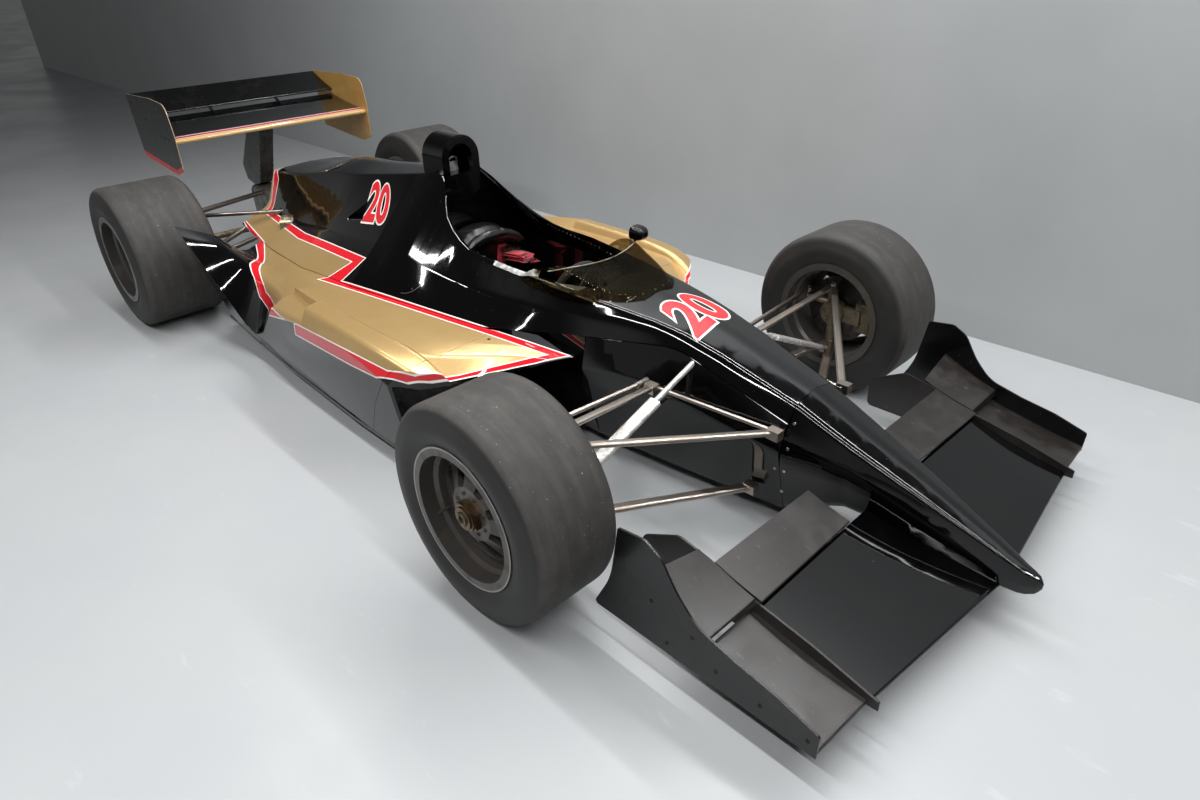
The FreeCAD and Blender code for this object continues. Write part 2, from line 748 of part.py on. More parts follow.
# Ramp that throws air over the rear wheel, in the same columns as POD.
RAMP = [
    POD_REAR_ROW,
    (FLOOR_REAR_X + 450, 488, 402, 560, 380, 640, 354, 735, 130, 705),
    (FLOOR_REAR_X + 225, 462, 390, 545, 364, 640, 400, 775, 340, 690),
    (FLOOR_REAR_X + 10, 440, 396, 545, 360, 650, 470, 812, 555, 672),
]


def kick_up(side):
    rows = refined(RAMP, LOFT_STEPS)
    shell = loft([skin_section(row[0], deck_path(row, 0)) for row in rows], True)
    return side_of(shell.cut(inside_seam(PANEL_GAP)), side)


# ---------------------------------------------------------------- cockpit furniture
SCREEN_WALL = 3.0


def windscreen():
    """Clear screen that wraps the front of the cockpit and runs back along its sides."""
    # Columns: x, base half width, base z, shoulder half width, shoulder z, crown z
    rows = [
        (1012, 70, 586, 40, 590, 592),
        (960, 136, 578, 96, 592, 599),
        (887, 186, 566, 148, 604, 616),
        (780, 214, 560, 186, 634, 648),
        (690, 226, 562, 212, 652, 668),
        (600, 228, 570, 223, 622, 668),
        (390, 238, 578, 222, 611, 660),
    ]
    wires = []
    for x, base_y, base_z, shoulder_y, shoulder_z, crown_z in rows:
        half = [(base_y, base_z, 0), (shoulder_y, shoulder_z, 40), (0, crown_z, 300)]
        wires.append(skin_section(x, mirrored(half), SCREEN_WALL))
    # Plan of the opening over the driver: x, half width, corner radius
    half = [(380, 214, 0), (560, 216, 100), (680, 206, 60), (752, 130, 90), (779, 0, 60)]
    whole = half + [(x, -y, r) for x, y, r in reversed(half) if y > 0]
    opening = prism_xy([(x, y) for x, y, r in whole], [r for x, y, r in whole], 0, HIGH)
    return largest(loft(wires).cut(opening).cut(envelope(UPPER, 0)))


SEAT_HALF_WIDTH = 165.0
SEAT_SHOULDER_RADIUS = 70.0
# Columns: x, z, corner radius, up the driver's side and down the tub's side
SEAT_PROFILE = [
    (118, 612, 8), (20, 560, 60), (0, 300, 200), (60, 110, 90), (200, 92, 200), (620, 150, 8),
    (620, 180, 8), (210, 122, 180), (90, 140, 60), (40, 300, 170), (52, 540, 40), (132, 588, 8),
]


def seat():
    """Reclined bucket that follows the driver's back and legs, rounded at the shoulders."""
    side = prism_xz([(x, z) for x, z, r in SEAT_PROFILE], [r for x, z, r in SEAT_PROFILE],
                    -SEAT_HALF_WIDTH, SEAT_HALF_WIDTH)
    corners = [(-SEAT_HALF_WIDTH, 0, 0), (-SEAT_HALF_WIDTH, 620, SEAT_SHOULDER_RADIUS),
               (SEAT_HALF_WIDTH, 620, SEAT_SHOULDER_RADIUS), (SEAT_HALF_WIDTH, 0, 0)]
    front = Part.Face(section(-100, corners)).extrude(V(HIGH, 0, 0))
    return side.common(front)


def harness():
    straps = []
    for side in (LEFT, RIGHT):
        low = 40 * side - 22
        straps.append(prism_xz([(43, 310), (55, 530), (59, 530), (47, 310)], [0] * 4, low, low + 44))
    return Part.makeCompound(straps)


STEERING_WHEEL_X = 600.0
STEERING_WHEEL_Z = 462.0
STEERING_WHEEL_RADIUS = 125.0
COLUMN_TILT = 12.0
COLUMN_RADIUS = 14.0


def along_column(distance):
    """Point on the steering column's axis, at a distance ahead of the steering wheel."""
    tilt = math.radians(COLUMN_TILT)
    return V(STEERING_WHEEL_X + distance * math.cos(tilt), 0,
             STEERING_WHEEL_Z - distance * math.sin(tilt))


def steering_wheel():
    axis = along_column(1) - along_column(0)
    rim = Part.makeTorus(STEERING_WHEEL_RADIUS, 13, along_column(0), axis)
    hub = Part.makeCylinder(34, 24, along_column(-4), axis)
    shaft = Part.makeCylinder(COLUMN_RADIUS, 470, along_column(4), axis)
    spokes = []
    for angle in (90, 210, 330):
        spoke = box(-4, 4, -14, 14, 20, STEERING_WHEEL_RADIUS - 4)
        spoke.rotate(V(0, 0, 0), V(1, 0, 0), angle)
        spoke.rotate(V(0, 0, 0), V(0, 1, 0), COLUMN_TILT)
        spoke.translate(along_column(4))
        spokes.append(spoke)
    return fuse([rim, hub, shaft] + spokes)


def mirror_left(screen):
    """Round nosed mirror on a thin stalk, its glass to the rear."""
    foot = Part.makeCylinder(13, 10, V(652, 214, 590), V(0.1, 0.9, 0.4))
    stalk = rod((652, 214, 590), (640, 284, 616), 5)
    # Columns: x, half width, half height
    rows = [(618, 33, 27), (640, 33, 27), (664, 26, 21), (676, 12, 9)]
    wires = []
    for x, wide, high in rows:
        y, z = 298, 637
        corners = [(y - wide, z - high), (y - wide, z + high), (y + wide, z + high),
                   (y + wide, z - high)]
        wires.append(section(x, [(a, b, 0.8 * high) for a, b in corners]))
    return largest(fuse([stalk, foot, loft(wires)]).cut(envelope(UPPER, 0)).cut(screen))


# ---------------------------------------------------------------- front wing
WING_LEAD_Z = 105.0
FENCE_Y = 610.0
FENCE_THICKNESS = 6.0
PLATE_Y = 804.0
NOSE_CLEARANCE_Y = 190.0
PLATE_THICKNESS = 6.0
MAIN_LEAD_CENTRE = (NOSE_X - 87, WING_LEAD_Z)
MAIN_LEAD_TIP = (NOSE_X - 146, WING_LEAD_Z)
MAIN_TRAIL = (NOSE_X - 461, 186)
MAIN_THICKNESS = 26.0


def front_wing_main():
    tip_y = FENCE_Y - FENCE_THICKNESS / 2
    wires = [
        aerofoil(-tip_y, MAIN_LEAD_TIP, MAIN_TRAIL, MAIN_THICKNESS),
        aerofoil(0, MAIN_LEAD_CENTRE, MAIN_TRAIL, MAIN_THICKNESS),
        aerofoil(tip_y, MAIN_LEAD_TIP, MAIN_TRAIL, MAIN_THICKNESS),
    ]
    return loft(wires, True)


def from_nose(points):
    """Outline whose x is given behind the nose's tip, as car coordinates."""
    return [(NOSE_X - behind, z) for behind, z in points]


def wing_between(y_inner, lead_inner, trail_inner, y_outer, lead_outer, trail_outer, thickness):
    sections = []
    for y, lead, trail in ((y_inner, lead_inner, trail_inner), (y_outer, lead_outer, trail_outer)):
        sections.append(aerofoil(y, *from_nose([lead, trail]), thickness))
    return loft(sections, True)


def front_wing_flaps():
    """Inner flaps beside the nose, then outer flaps and their foot planes beyond the fences."""
    inner_y = NOSE_CLEARANCE_Y
    fence_in = FENCE_Y - FENCE_THICKNESS / 2
    fence_out = FENCE_Y + FENCE_THICKNESS / 2
    plate_in = PLATE_Y - PLATE_THICKNESS / 2
    inner = wing_between(inner_y, (453, 207), (590, 246), fence_in, (447, 205), (593, 245), 14)
    outer = wing_between(fence_out, (463, 206), (641, 262), plate_in, (463, 206), (658, 288), 18)
    foot = wing_between(fence_out, (149, 108), (471, 172), plate_in, (157, 108), (471, 172), 22)
    left = [inner, outer, foot]
    return Part.makeCompound(left + [mirror_y(shape) for shape in left])


def front_wing_fences():
    # Columns: distance behind the nose, z, corner radius
    outline = [(122, 100, 0), (122, 126, 6), (301, 172, 400), (472, 203, 400), (609, 247, 120),
               (708, 265, 40), (837, 197, 30), (831, 91, 20), (436, 91, 0)]
    y_low = FENCE_Y - FENCE_THICKNESS / 2
    return pair(prism_xz(from_nose([(x, z) for x, z, r in outline]), [r for x, z, r in outline],
                         y_low, y_low + FENCE_THICKNESS))


def front_wing_end_plate(side):
    # Columns: distance behind the nose, z, corner radius
    outline = [(738, 390, 8), (651, 402, 30), (601, 376, 60), (551, 300, 200), (491, 240, 120),
               (377, 212, 200), (262, 193, 200), (156, 161, 10), (158, 92, 0), (831, 91, 10),
               (766, 215, 300)]
    y_low = PLATE_Y - PLATE_THICKNESS / 2
    plate = prism_xz(from_nose([(x, z) for x, z, r in outline]), [r for x, z, r in outline],
                     y_low, y_low + PLATE_THICKNESS)
    return side_of(plate, side)


# ---------------------------------------------------------------- rear wing
REAR_PLATE_Y = 536.0
REAR_PLATE_THICKNESS = 5.0
REAR_MAIN_LEAD = (REAR_WING_X + 584, 800)
REAR_MAIN_TRAIL = (REAR_WING_X + 201, 862)
REAR_MAIN_THICKNESS = 34.0
REAR_FLAP_LEAD = (REAR_WING_X + 213, 888)
REAR_FLAP_TRAIL = (REAR_WING_X + 3, 974)
REAR_FLAP_THICKNESS = 16.0
SLOT_STRUT_Y = 190.0


def rear_wing_main():
    wires = [aerofoil(y, REAR_MAIN_LEAD, REAR_MAIN_TRAIL, REAR_MAIN_THICKNESS)
             for y in (-REAR_PLATE_Y, REAR_PLATE_Y)]
    return loft(wires, True)


def rear_wing_flap(main):
    """Flap above the main plane's trailing edge, with the two struts that stand on the plane."""
    wires = [aerofoil(y, REAR_FLAP_LEAD, REAR_FLAP_TRAIL, REAR_FLAP_THICKNESS)
             for y in (-REAR_PLATE_Y, REAR_PLATE_Y)]
    x, z = REAR_FLAP_LEAD
    outline = [(x - 50, z + 14), (x + 70, z - 50), (x + 20, z - 50), (x - 90, z + 14)]
    strut = prism_xz(outline, [0] * 4, SLOT_STRUT_Y - 3, SLOT_STRUT_Y + 3).cut(main)
    strut = strut.common(box(x - 200, x + 200, 0, WIDE, REAR_MAIN_TRAIL[1] - 30, HIGH))
    return fuse([loft(wires, True), strut, mirror_y(strut)])


def rear_wing_end_plates():
    # Columns: distance ahead of the wing's rearmost edge, z, corner radius
    outline = [(0, 976, 6), (372, 987, 300), (576, 976, 60), (606, 830, 200), (594, 653, 30),
               (504, 624, 60), (40, 660, 12), (20, 821, 300)]
    plate = prism_xz([(REAR_WING_X + x, z) for x, z, r in outline], [r for x, z, r in outline],
                     REAR_PLATE_Y, REAR_PLATE_Y + REAR_PLATE_THICKNESS)
    return pair(plate)


POST_HALF_WIDTH = 40.0


def rear_wing_post(main, case):
    """Single pylon from the gearbox tail up to the wing's belly, leaning forward."""
    wing_x = REAR_WING_X
    tail_x = GEARBOX_REAR_X
    outline = [(wing_x + 417, 806), (wing_x + 413, 749), (tail_x + 84, 440), (tail_x + 4, 418),
               (tail_x - 90, 440), (tail_x - 113, 524), (wing_x + 214, 714), (wing_x + 256, 842)]
    radii = [0, 40, 0, 0, 10, 20, 60, 0]
    post = prism_xz(outline, radii, -POST_HALF_WIDTH, POST_HALF_WIDTH)
    return post.cut(main).cut(case)


# ---------------------------------------------------------------- wheels
def tyre(x, y, radius, rim_width, section_width):
    """Slick tyre on its rim, as one closed ring."""
    half_rim = rim_width / 2 - 12
    half = section_width / 2
    shoulder = 36.0
    profile = [
        (BEAD_RADIUS, y - half_rim),
        (BEAD_RADIUS + 0.45 * (radius - BEAD_RADIUS), y - half),
        (radius, y - half + shoulder / 2),
        (radius, y + half - shoulder / 2),
        (BEAD_RADIUS + 0.45 * (radius - BEAD_RADIUS), y + half),
        (BEAD_RADIUS, y + half_rim),
    ]
    radii = [0, 60, shoulder, shoulder, 60, 0]
    return revolve_y(profile, radii, x, radius)


def barrel(x, y, z, rim_width):
    """Rim barrel with its flanges, bead seats and well."""
    half = rim_width / 2
    well = 55.0
    profile = [
        (FLANGE_RADIUS, y - half),
        (FLANGE_RADIUS, y - half + 6),
        (BEAD_RADIUS, y - half + 12),
        (BEAD_RADIUS, y - half + 45),
        (WELL_RADIUS, y - half + well),
        (WELL_RADIUS, y + half - well),
        (BEAD_RADIUS, y + half - 45),
        (BEAD_RADIUS, y + half - 12),
        (FLANGE_RADIUS, y + half - 6),
        (FLANGE_RADIUS, y + half),
        (BEAD_RADIUS - RIM_WALL, y + half),
        (BEAD_RADIUS - RIM_WALL, y + half - 45),
        (WELL_RADIUS - RIM_WALL, y + half - well),
        (WELL_RADIUS - RIM_WALL, y - half + well),
        (BEAD_RADIUS - RIM_WALL, y - half + 45),
        (BEAD_RADIUS - RIM_WALL, y - half),
    ]
    return revolve_y(profile, [0] * len(profile), x, z)


HUB_RADIUS = 40.0
FRONT_FACE_OFFSET = 62.0      # wheel centre to the middle of its dish
REAR_FACE_OFFSET = 60.0
WINDOW_LEAN = 20.0            # degrees either side of a pair's middle


def rim_windows(x, z, face, turn):
    """Eight tapered windows in four pairs, as one cutting tool."""
    windows = []
    for spoke in range(4):
        for lean in (-WINDOW_LEAN, WINDOW_LEAN):
            window = prism_xz([(-13, 78), (13, 78), (27, 150), (-27, 150)], [6, 6, 8, 8],
                              face - 60, face + 60)
            window.rotate(V(0, 0, 0), V(0, 1, 0), 90 * spoke + lean + turn)
            window.translate(V(x, 0, z))
            windows.append(window)
    return Part.makeCompound(windows)


def front_rim(x, y, z):
    """Dished centre with four pairs of tapered windows, drawn for the left wheel."""
    face = y + FRONT_FACE_OFFSET
    rim_y = WELL_RADIUS - RIM_WALL + 1
    dish = revolve_y([(HUB_RADIUS, face - 10), (70, face - 10), (150, face - 34), (rim_y, face - 12),
                      (rim_y, face), (148, face - 20), (80, face + 14), (HUB_RADIUS, face + 14)],
                     [0, 0, 20, 0, 0, 20, 10, 0], x, z)
    return fuse([barrel(x, y, z, FRONT_RIM_WIDTH), dish.cut(rim_windows(x, z, face, 45))])


def rear_rim(x, y, z):
    """Deep dish with the same windows, drawn for the left wheel."""
    face = y + REAR_FACE_OFFSET
    rim_y = WELL_RADIUS - RIM_WALL + 1
    dish = revolve_y([(HUB_RADIUS, face - 12), (70, face - 12), (rim_y, face - 30),
                      (rim_y, face - 16), (90, face + 6), (HUB_RADIUS, face + 6)],
                     [0, 0, 0, 0, 10, 0], x, z)
    return fuse([barrel(x, y, z, REAR_RIM_WIDTH), dish.cut(rim_windows(x, z, face, 0))])


SPINDLE_RADIUS = 19.0
SPINDLE_BORE = 11.0
DISC_RADIUS = 132.0
FRONT_DISC_Y = FRONT_WHEEL_Y - 34
FRONT_SPINDLE_END_Y = 1003.0


def hexagon(radius, x, z, y_low, y_high):
    points = []
    for corner in range(6):
        angle = math.radians(60 * corner)
        points.append((x + radius * math.cos(angle), z + radius * math.sin(angle)))
    return prism_xz(points, [2] * 6, y_low, y_high)


def front_hub(x, z):
    """Brake disc, bell, sleeve and hexagon nut, which turn on the upright's spindle."""
    bore = SPINDLE_RADIUS + FIT
    web = FRONT_WHEEL_Y + FRONT_FACE_OFFSET - 10
    profile = [
        (bore, FRONT_DISC_Y - 12),
        (HUB_RADIUS + 20, FRONT_DISC_Y - 12),
        (HUB_RADIUS + 20, FRONT_DISC_Y - 12 + 6),
        (DISC_RADIUS, FRONT_DISC_Y - 12 + 6),
        (DISC_RADIUS, FRONT_DISC_Y + 14),
        (HUB_RADIUS + 25, FRONT_DISC_Y + 14),
        (HUB_RADIUS + 25, web),
        (HUB_RADIUS, web),
        (HUB_RADIUS, web + 24),
        (bore, web + 24),
    ]
    body = revolve_y(profile, [0] * len(profile), x, z)
    nut = hexagon(HUB_RADIUS - 4, x, z, web + 24, web + 58)
    nut = nut.cut(cylinder_y(bore, x, z, web, web + 100))
    return fuse([body, nut])


REAR_DISC_Y = REAR_WHEEL_Y - 58


def rear_hub(x, z):
    """Hub, disc and half shaft, which turn as one with the rear wheel."""
    web = REAR_WHEEL_Y + REAR_FACE_OFFSET - 12
    profile = [
        (0, OUTPUT_FLANGE_Y + 6),
        (58, OUTPUT_FLANGE_Y + 6),
        (58, OUTPUT_FLANGE_Y + 44),
        (16, OUTPUT_FLANGE_Y + 60),
        (16, 560),
        (48, 576),
        (48, 612),
        (22, 616),
        (22, REAR_DISC_Y - 8),
        (DISC_RADIUS, REAR_DISC_Y - 8),
        (DISC_RADIUS, REAR_DISC_Y + 20),
        (HUB_RADIUS + 25, REAR_DISC_Y + 20),
        (HUB_RADIUS + 25, web),
        (HUB_RADIUS, web),
        (HUB_RADIUS, web + 20),
        (0, web + 20),
    ]
    body = revolve_y(profile, [0] * len(profile), x, z)
    nut = hexagon(HUB_RADIUS - 4, x, z, web + 20, web + 52)
    return fuse([body, nut])


# ---------------------------------------------------------------- front suspension and steering
KING_LOW = V(FRONT_AXLE_X, 800, 190)
KING_HIGH = V(FRONT_AXLE_X - 12, 790, 428)
BALL_GAP = 3.0
EYE_HEIGHT = 22.0
ARM_DROP = 32.0
ARM_PIN_RADIUS = 5.0
ROD_EYE_BORE = 10.5
ARM_PIN = V(FRONT_AXLE_X - 120, 792, RACK_Z)
ARM_REACH_DOWN = 72.0        # from the upper joint down the upright to the steering arm
# Columns: outer joint, inner front pivot, inner rear pivot, leg width, leg thickness
FRONT_ARMS = [
    (KING_HIGH, (FRONT_AXLE_X + 396, 176, 376), (FRONT_AXLE_X - 36, 222, 382), 27, 16),
    (KING_LOW, (FRONT_AXLE_X + 314, 150, 133), (FRONT_AXLE_X - 187, 178, 140), 36, 18),
]
TIE_RADIUS = 7.0
PUSHROD_BLADE = (46.0, 20.0)
PUSHROD_RADIUS = 9.0


def front_wishbones():
    """Faired wishbones with an eye at the outer joint and a clevis at each inner pivot."""
    king = (KING_HIGH - KING_LOW).normalize()
    arms = []
    for outer, front, rear, width, thickness in FRONT_ARMS:
        eye = Part.makeCylinder(17, EYE_HEIGHT, outer - king * (EYE_HEIGHT / 2), king)
        legs = [blade(tuple(outer), pivot, width, thickness) for pivot in (front, rear)]
        ties = [rod(front, rear, TIE_RADIUS)] if outer is KING_HIGH else []
        clevises = [box(x - 20, x + 20, y - 4, y + 26, z - 15, z + 15) for x, y, z in (front, rear)]
        arm = fuse([eye] + legs + ties + clevises)
        arm = arm.cut(Part.makeCylinder(7 + FIT, 200, outer - king * 100, king))
        for direction in (1, -1):
            start = outer + king * (direction * EYE_HEIGHT / 2)
            arm = arm.cut(Part.makeCylinder(24, 90, start, king * direction))
        arms.append(arm.cut(front_tub(0)))
    return Part.makeCompound(arms + [mirror_y(arm) for arm in arms])


def front_pushrods(wishbones):
    """Faired pushrods that narrow to a round rod where they enter the nose."""
    low = V(KING_LOW.x + 4, KING_LOW.y - 65, KING_LOW.z - 4)
    high = V(FRONT_AXLE_X + 64, 140, 480)
    neck = low + (high - low) * 0.72
    push = fuse([blade(tuple(low), tuple(neck), *PUSHROD_BLADE),
                 rod(tuple(low), tuple(high), PUSHROD_RADIUS)])
    return pair(push.cut(front_tub(0)).cut(wishbones))


def front_upright(side):
    """Upright with kingpin pins, steering arm, spindle and caliper."""
    king = (KING_HIGH - KING_LOW).normalize()
    low = KING_LOW + king * (EYE_HEIGHT / 2 + BALL_GAP)
    high = KING_HIGH - king * (EYE_HEIGHT / 2 + BALL_GAP)
    x = FRONT_AXLE_X
    z = FRONT_TYRE_RADIUS
    post = rod(low, high, 20)
    boss = cylinder_y(46, x, z, 772, 818)
    spindle = cylinder_y(SPINDLE_RADIUS, x, z, 810, FRONT_SPINDLE_END_Y)
    pins = [rod(KING_LOW - king * 14, low, 7), rod(high, KING_HIGH + king * 14, 7)]
    arm = rod(KING_HIGH - king * ARM_REACH_DOWN, (ARM_PIN.x, ARM_PIN.y, ARM_PIN.z - ARM_DROP), 12)
    pin = Part.makeCylinder(ARM_PIN_RADIUS, ARM_DROP + 14, ARM_PIN - V(0, 0, ARM_DROP), V(0, 0, 1))
    caliper = caliper_block(x, z, FRONT_DISC_Y, 1)
    bracket = box(x + 20, x + 112, 790, 815, z - 30, z + 30)
    whole = fuse([post, boss, spindle, arm, pin, bracket, caliper] + pins)
    whole = whole.cut(cylinder_y(SPINDLE_BORE, x, z, 860, FRONT_SPINDLE_END_Y + 1))
    return side_of(whole, side)


def caliper_block(axle_x, z, disc_y, direction):
    """Caliper that straddles the disc's rim, ahead of the axle (1) or behind it (-1)."""
    inner_edge = 88.0
    outer_edge = DISC_RADIUS + 18
    slot_edge = DISC_RADIUS + 6
    block = box(inner_edge, outer_edge, disc_y - 40, disc_y + 44, z - 58, z + 58)
    slot = box(inner_edge - 1, slot_edge, disc_y - 14, disc_y + 22, z - 90, z + 90)
    caliper = block.cut(slot)
    if direction < 0:
        caliper = caliper.mirror(V(0, 0, 0), V(1, 0, 0))
    caliper.translate(V(axle_x, 0, 0))
    return caliper


def steering_rack():
    """Rack bar with a track rod at each end, which slides sideways as one."""
    bar = cylinder_y(RACK_RADIUS, RACK_X, RACK_Z, -260, 260)
    pieces = [bar]
    for side in (LEFT, RIGHT):
        inner = (RACK_X, 255 * side, RACK_Z)
        eye_centre = V(ARM_PIN.x, ARM_PIN.y * side, ARM_PIN.z)
        track_rod = rod(inner, eye_centre, 8)
        eye = Part.makeCylinder(ROD_EYE_BORE + 7, 14, eye_centre - V(0, 0, 7), V(0, 0, 1))
        pieces += [track_rod, eye]
    whole = fuse(pieces)
    for side in (LEFT, RIGHT):
        centre = V(ARM_PIN.x, ARM_PIN.y * side, ARM_PIN.z - 60)
        whole = whole.cut(Part.makeCylinder(ROD_EYE_BORE, 120, centre, V(0, 0, 1)))
    return whole


# ---------------------------------------------------------------- rear suspension
REAR_PLATE_IN_Y = REAR_JOINT_Y
REAR_UPRIGHT_THICKNESS = 60.0


def rear_upright(side):
    """Cast plate round the half shaft, with its caliper behind the axle."""
    x = REAR_AXLE_X
    z = REAR_TYRE_RADIUS
    outline = [(x - 60, 210), (x + 40, 210), (x + 70, z), (x + 20, 480), (x - 40, 480), (x - 75, z)]
    plate = prism_xz(outline, [15] * 6, REAR_PLATE_IN_Y, REAR_PLATE_IN_Y + REAR_UPRIGHT_THICKNESS)
    bore = cylinder_y(26, x, z, 600, 760)
    caliper = caliper_block(x, z, REAR_DISC_Y + 2, -1)
    bracket = box(x - 118, x - 40, 680, 712, z - 30, z + 30)
    return side_of(fuse([plate, caliper, bracket]).cut(bore), side)


def rear_wishbones(case):
    """Upper links and lower wishbones on both sides, seated on the gearbox."""
    upper = fuse([rod(*link) for link in UPPER_LINKS]).cut(case)
    lower = fuse([rod((REAR_AXLE_X + 364, 100, 230), REAR_LOWER_JOINT, 13),
                  rod((REAR_AXLE_X - 236, 80, 235), REAR_LOWER_JOINT, 13)]).cut(case)
    upright_left = rear_upright(LEFT)
    links = [link.cut(upright_left) for link in (upper, lower)]
    return Part.makeCompound(links + [mirror_y(link) for link in links])


def rear_pushrods():
    return pair(rod(*REAR_PUSHRODS[0]))


def exhaust_tailpipe():
    """Open tube that stands out of the right flank of the engine cover."""
    outer = rod(*TAILPIPE, TAILPIPE_RADIUS)
    start, end = TAILPIPE
    along = V(*end) - V(*start)
    inner = rod(tuple(V(*start) - along), tuple(V(*end) + along), TAILPIPE_RADIUS - TAILPIPE_WALL)
    return outer.cut(inner)


# ---------------------------------------------------------------- assembly
def build_body():
    wing = front_wing_main()
    export(monocoque(), "monocoque")
    export(top_cover(), "top_cover")
    export(nose_cone().cut(wing), "nose_cone")
    export(wing, "front_wing_main")
    export(roll_hoop(), "roll_hoop")
    export(cockpit_bulkhead(), "cockpit_bulkhead")
    export(engine_cover(), "engine_cover")
    export(engine_block(), "engine_block")
    export(underfloor(), "underfloor")
    screen = windscreen()
    export(screen, "windscreen")
    export(seat(), "seat")
    export(harness(), "harness")
    export(steering_wheel(), "steering_wheel")
    export(mirror_left(screen), "mirror_left")
    export(front_wing_flaps(), "front_wing_flaps")
    export(front_wing_fences(), "front_wing_fences")
    export(exhaust_tailpipe(), "exhaust_tailpipe")
    export(steering_rack(), "steering_rack")
    wishbones = front_wishbones()
    export(wishbones, "front_wishbones")
    export(front_pushrods(wishbones), "front_pushrods")


def build_rear():
    case = gearbox()
    main = rear_wing_main()
    export(case, "gearbox")
    export(main, "rear_wing_main")
    export(rear_wing_flap(main), "rear_wing_flap")
    export(rear_wing_end_plates(), "rear_wing_end_plates")
    export(rear_wing_post(main, case), "rear_wing_post")
    export(rear_wishbones(case), "rear_wishbones")
    export(rear_pushrods(), "rear_pushrods")


def build_sides():
    pod = pod_shell()
    mouth = ahead_of_seam(0)
    front = front_rim(FRONT_AXLE_X, FRONT_WHEEL_Y, FRONT_TYRE_RADIUS)
    rear = rear_rim(REAR_AXLE_X, REAR_WHEEL_Y, REAR_TYRE_RADIUS)
    front_tyre = tyre(FRONT_AXLE_X, FRONT_WHEEL_Y, FRONT_TYRE_RADIUS, FRONT_RIM_WIDTH,
                      FRONT_TYRE_WIDTH)
    rear_tyre = tyre(REAR_AXLE_X, REAR_WHEEL_Y, REAR_TYRE_RADIUS, REAR_RIM_WIDTH, REAR_TYRE_WIDTH)
    drawn_left = {
        "sidepod": pod.cut(ahead_of_seam(PANEL_GAP)),
        "sidepod_intake": pod.common(mouth),
        "front_tyre": front_tyre.cut(front),
        "front_rim": front,
        "front_hub": front_hub(FRONT_AXLE_X, FRONT_TYRE_RADIUS),
        "rear_tyre": rear_tyre.cut(rear),
        "rear_rim": rear,
        "rear_hub": rear_hub(REAR_AXLE_X, REAR_TYRE_RADIUS),
    }
    for side, word in ((LEFT, "left"), (RIGHT, "right")):
        for name, shape in drawn_left.items():
            export(side_of(shape, side), "%s_%s" % (name, word))
        for name, maker in (("kick_up", kick_up), ("radiator", radiator),
                            ("front_wing_end_plate", front_wing_end_plate),
                            ("front_upright", front_upright), ("rear_upright", rear_upright)):
            export(maker(side), "%s_%s" % (name, word))


build_body()
build_rear()
build_sides()
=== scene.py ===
"""Finishes, soft parts and small fittings of the open wheel racing car, built round its frame."""
import json
import math
from collections import namedtuple

import bmesh
import bpy
from bpy.props import FloatProperty, IntProperty, PointerProperty, StringProperty
from mathutils import Matrix, Vector
from mathutils.bvhtree import BVHTree

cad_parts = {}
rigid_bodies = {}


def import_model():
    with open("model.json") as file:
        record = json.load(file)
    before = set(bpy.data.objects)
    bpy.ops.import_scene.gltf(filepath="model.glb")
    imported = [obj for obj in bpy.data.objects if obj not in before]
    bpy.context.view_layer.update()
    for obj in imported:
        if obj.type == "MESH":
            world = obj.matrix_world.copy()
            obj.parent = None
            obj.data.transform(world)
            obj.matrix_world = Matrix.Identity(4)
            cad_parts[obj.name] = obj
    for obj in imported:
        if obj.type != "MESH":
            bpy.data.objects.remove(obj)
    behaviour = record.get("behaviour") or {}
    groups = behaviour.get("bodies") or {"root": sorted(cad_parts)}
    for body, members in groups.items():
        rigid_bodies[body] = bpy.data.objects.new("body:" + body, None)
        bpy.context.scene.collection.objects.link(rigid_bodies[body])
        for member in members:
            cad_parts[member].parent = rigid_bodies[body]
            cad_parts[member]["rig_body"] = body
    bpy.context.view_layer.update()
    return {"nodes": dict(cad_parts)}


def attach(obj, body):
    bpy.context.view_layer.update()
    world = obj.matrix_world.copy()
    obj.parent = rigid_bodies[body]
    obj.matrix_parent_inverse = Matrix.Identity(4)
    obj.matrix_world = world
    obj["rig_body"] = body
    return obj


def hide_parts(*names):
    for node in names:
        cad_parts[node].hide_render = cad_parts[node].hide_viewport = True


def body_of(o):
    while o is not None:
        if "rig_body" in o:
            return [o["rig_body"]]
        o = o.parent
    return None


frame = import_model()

bl_info = {
    "name": "Open wheel racing car",
    "version": (1, 0, 0),
    "blender": (4, 5, 0),
    "location": "View3D > Sidebar > Racing car",
    "description": "Finishes and fits out an open wheel racing car round its frame",
    "category": "Object",
}

MM = 0.001
SIDES = (("left", 1), ("right", -1))

# One end's wheels, in metres: the axle's X and Z, the tyre's radius, and how far out from the middle
# of the car the rim's lip, the wheel's web and the nut's face stand
Wheel = namedtuple("Wheel", "axle tyre lip web nut")
FRONT = Wheel((1.227, 0.320), 0.320, 1.007, 0.968, 0.992)
REAR = Wheel((-1.614, 0.3375), 0.3375, 0.984, 0.864, 0.892)
FLANGE = 0.208  # radius of each rim's flange


# ---- sizes and colours
class StageSettings(bpy.types.PropertyGroup):
    """Floor, lights and the camera."""
    floor_colour: StringProperty(name="Floor", description="Painted floor, sRGB hex", default="abadae")
    wall_colour: StringProperty(name="Wall", description="Painted wall, sRGB hex", default="a4a7a8")
    lens_mm: FloatProperty(name="Lens", description="Focal length on a 36 mm sensor", default=23.637,
                           unit="CAMERA")
    dome: FloatProperty(name="Dome", description="Strength of the even light all round", default=0.9)
    strip_power: FloatProperty(name="Strip lights", description="Power of each overhead strip light",
                               default=165.0, unit="POWER")


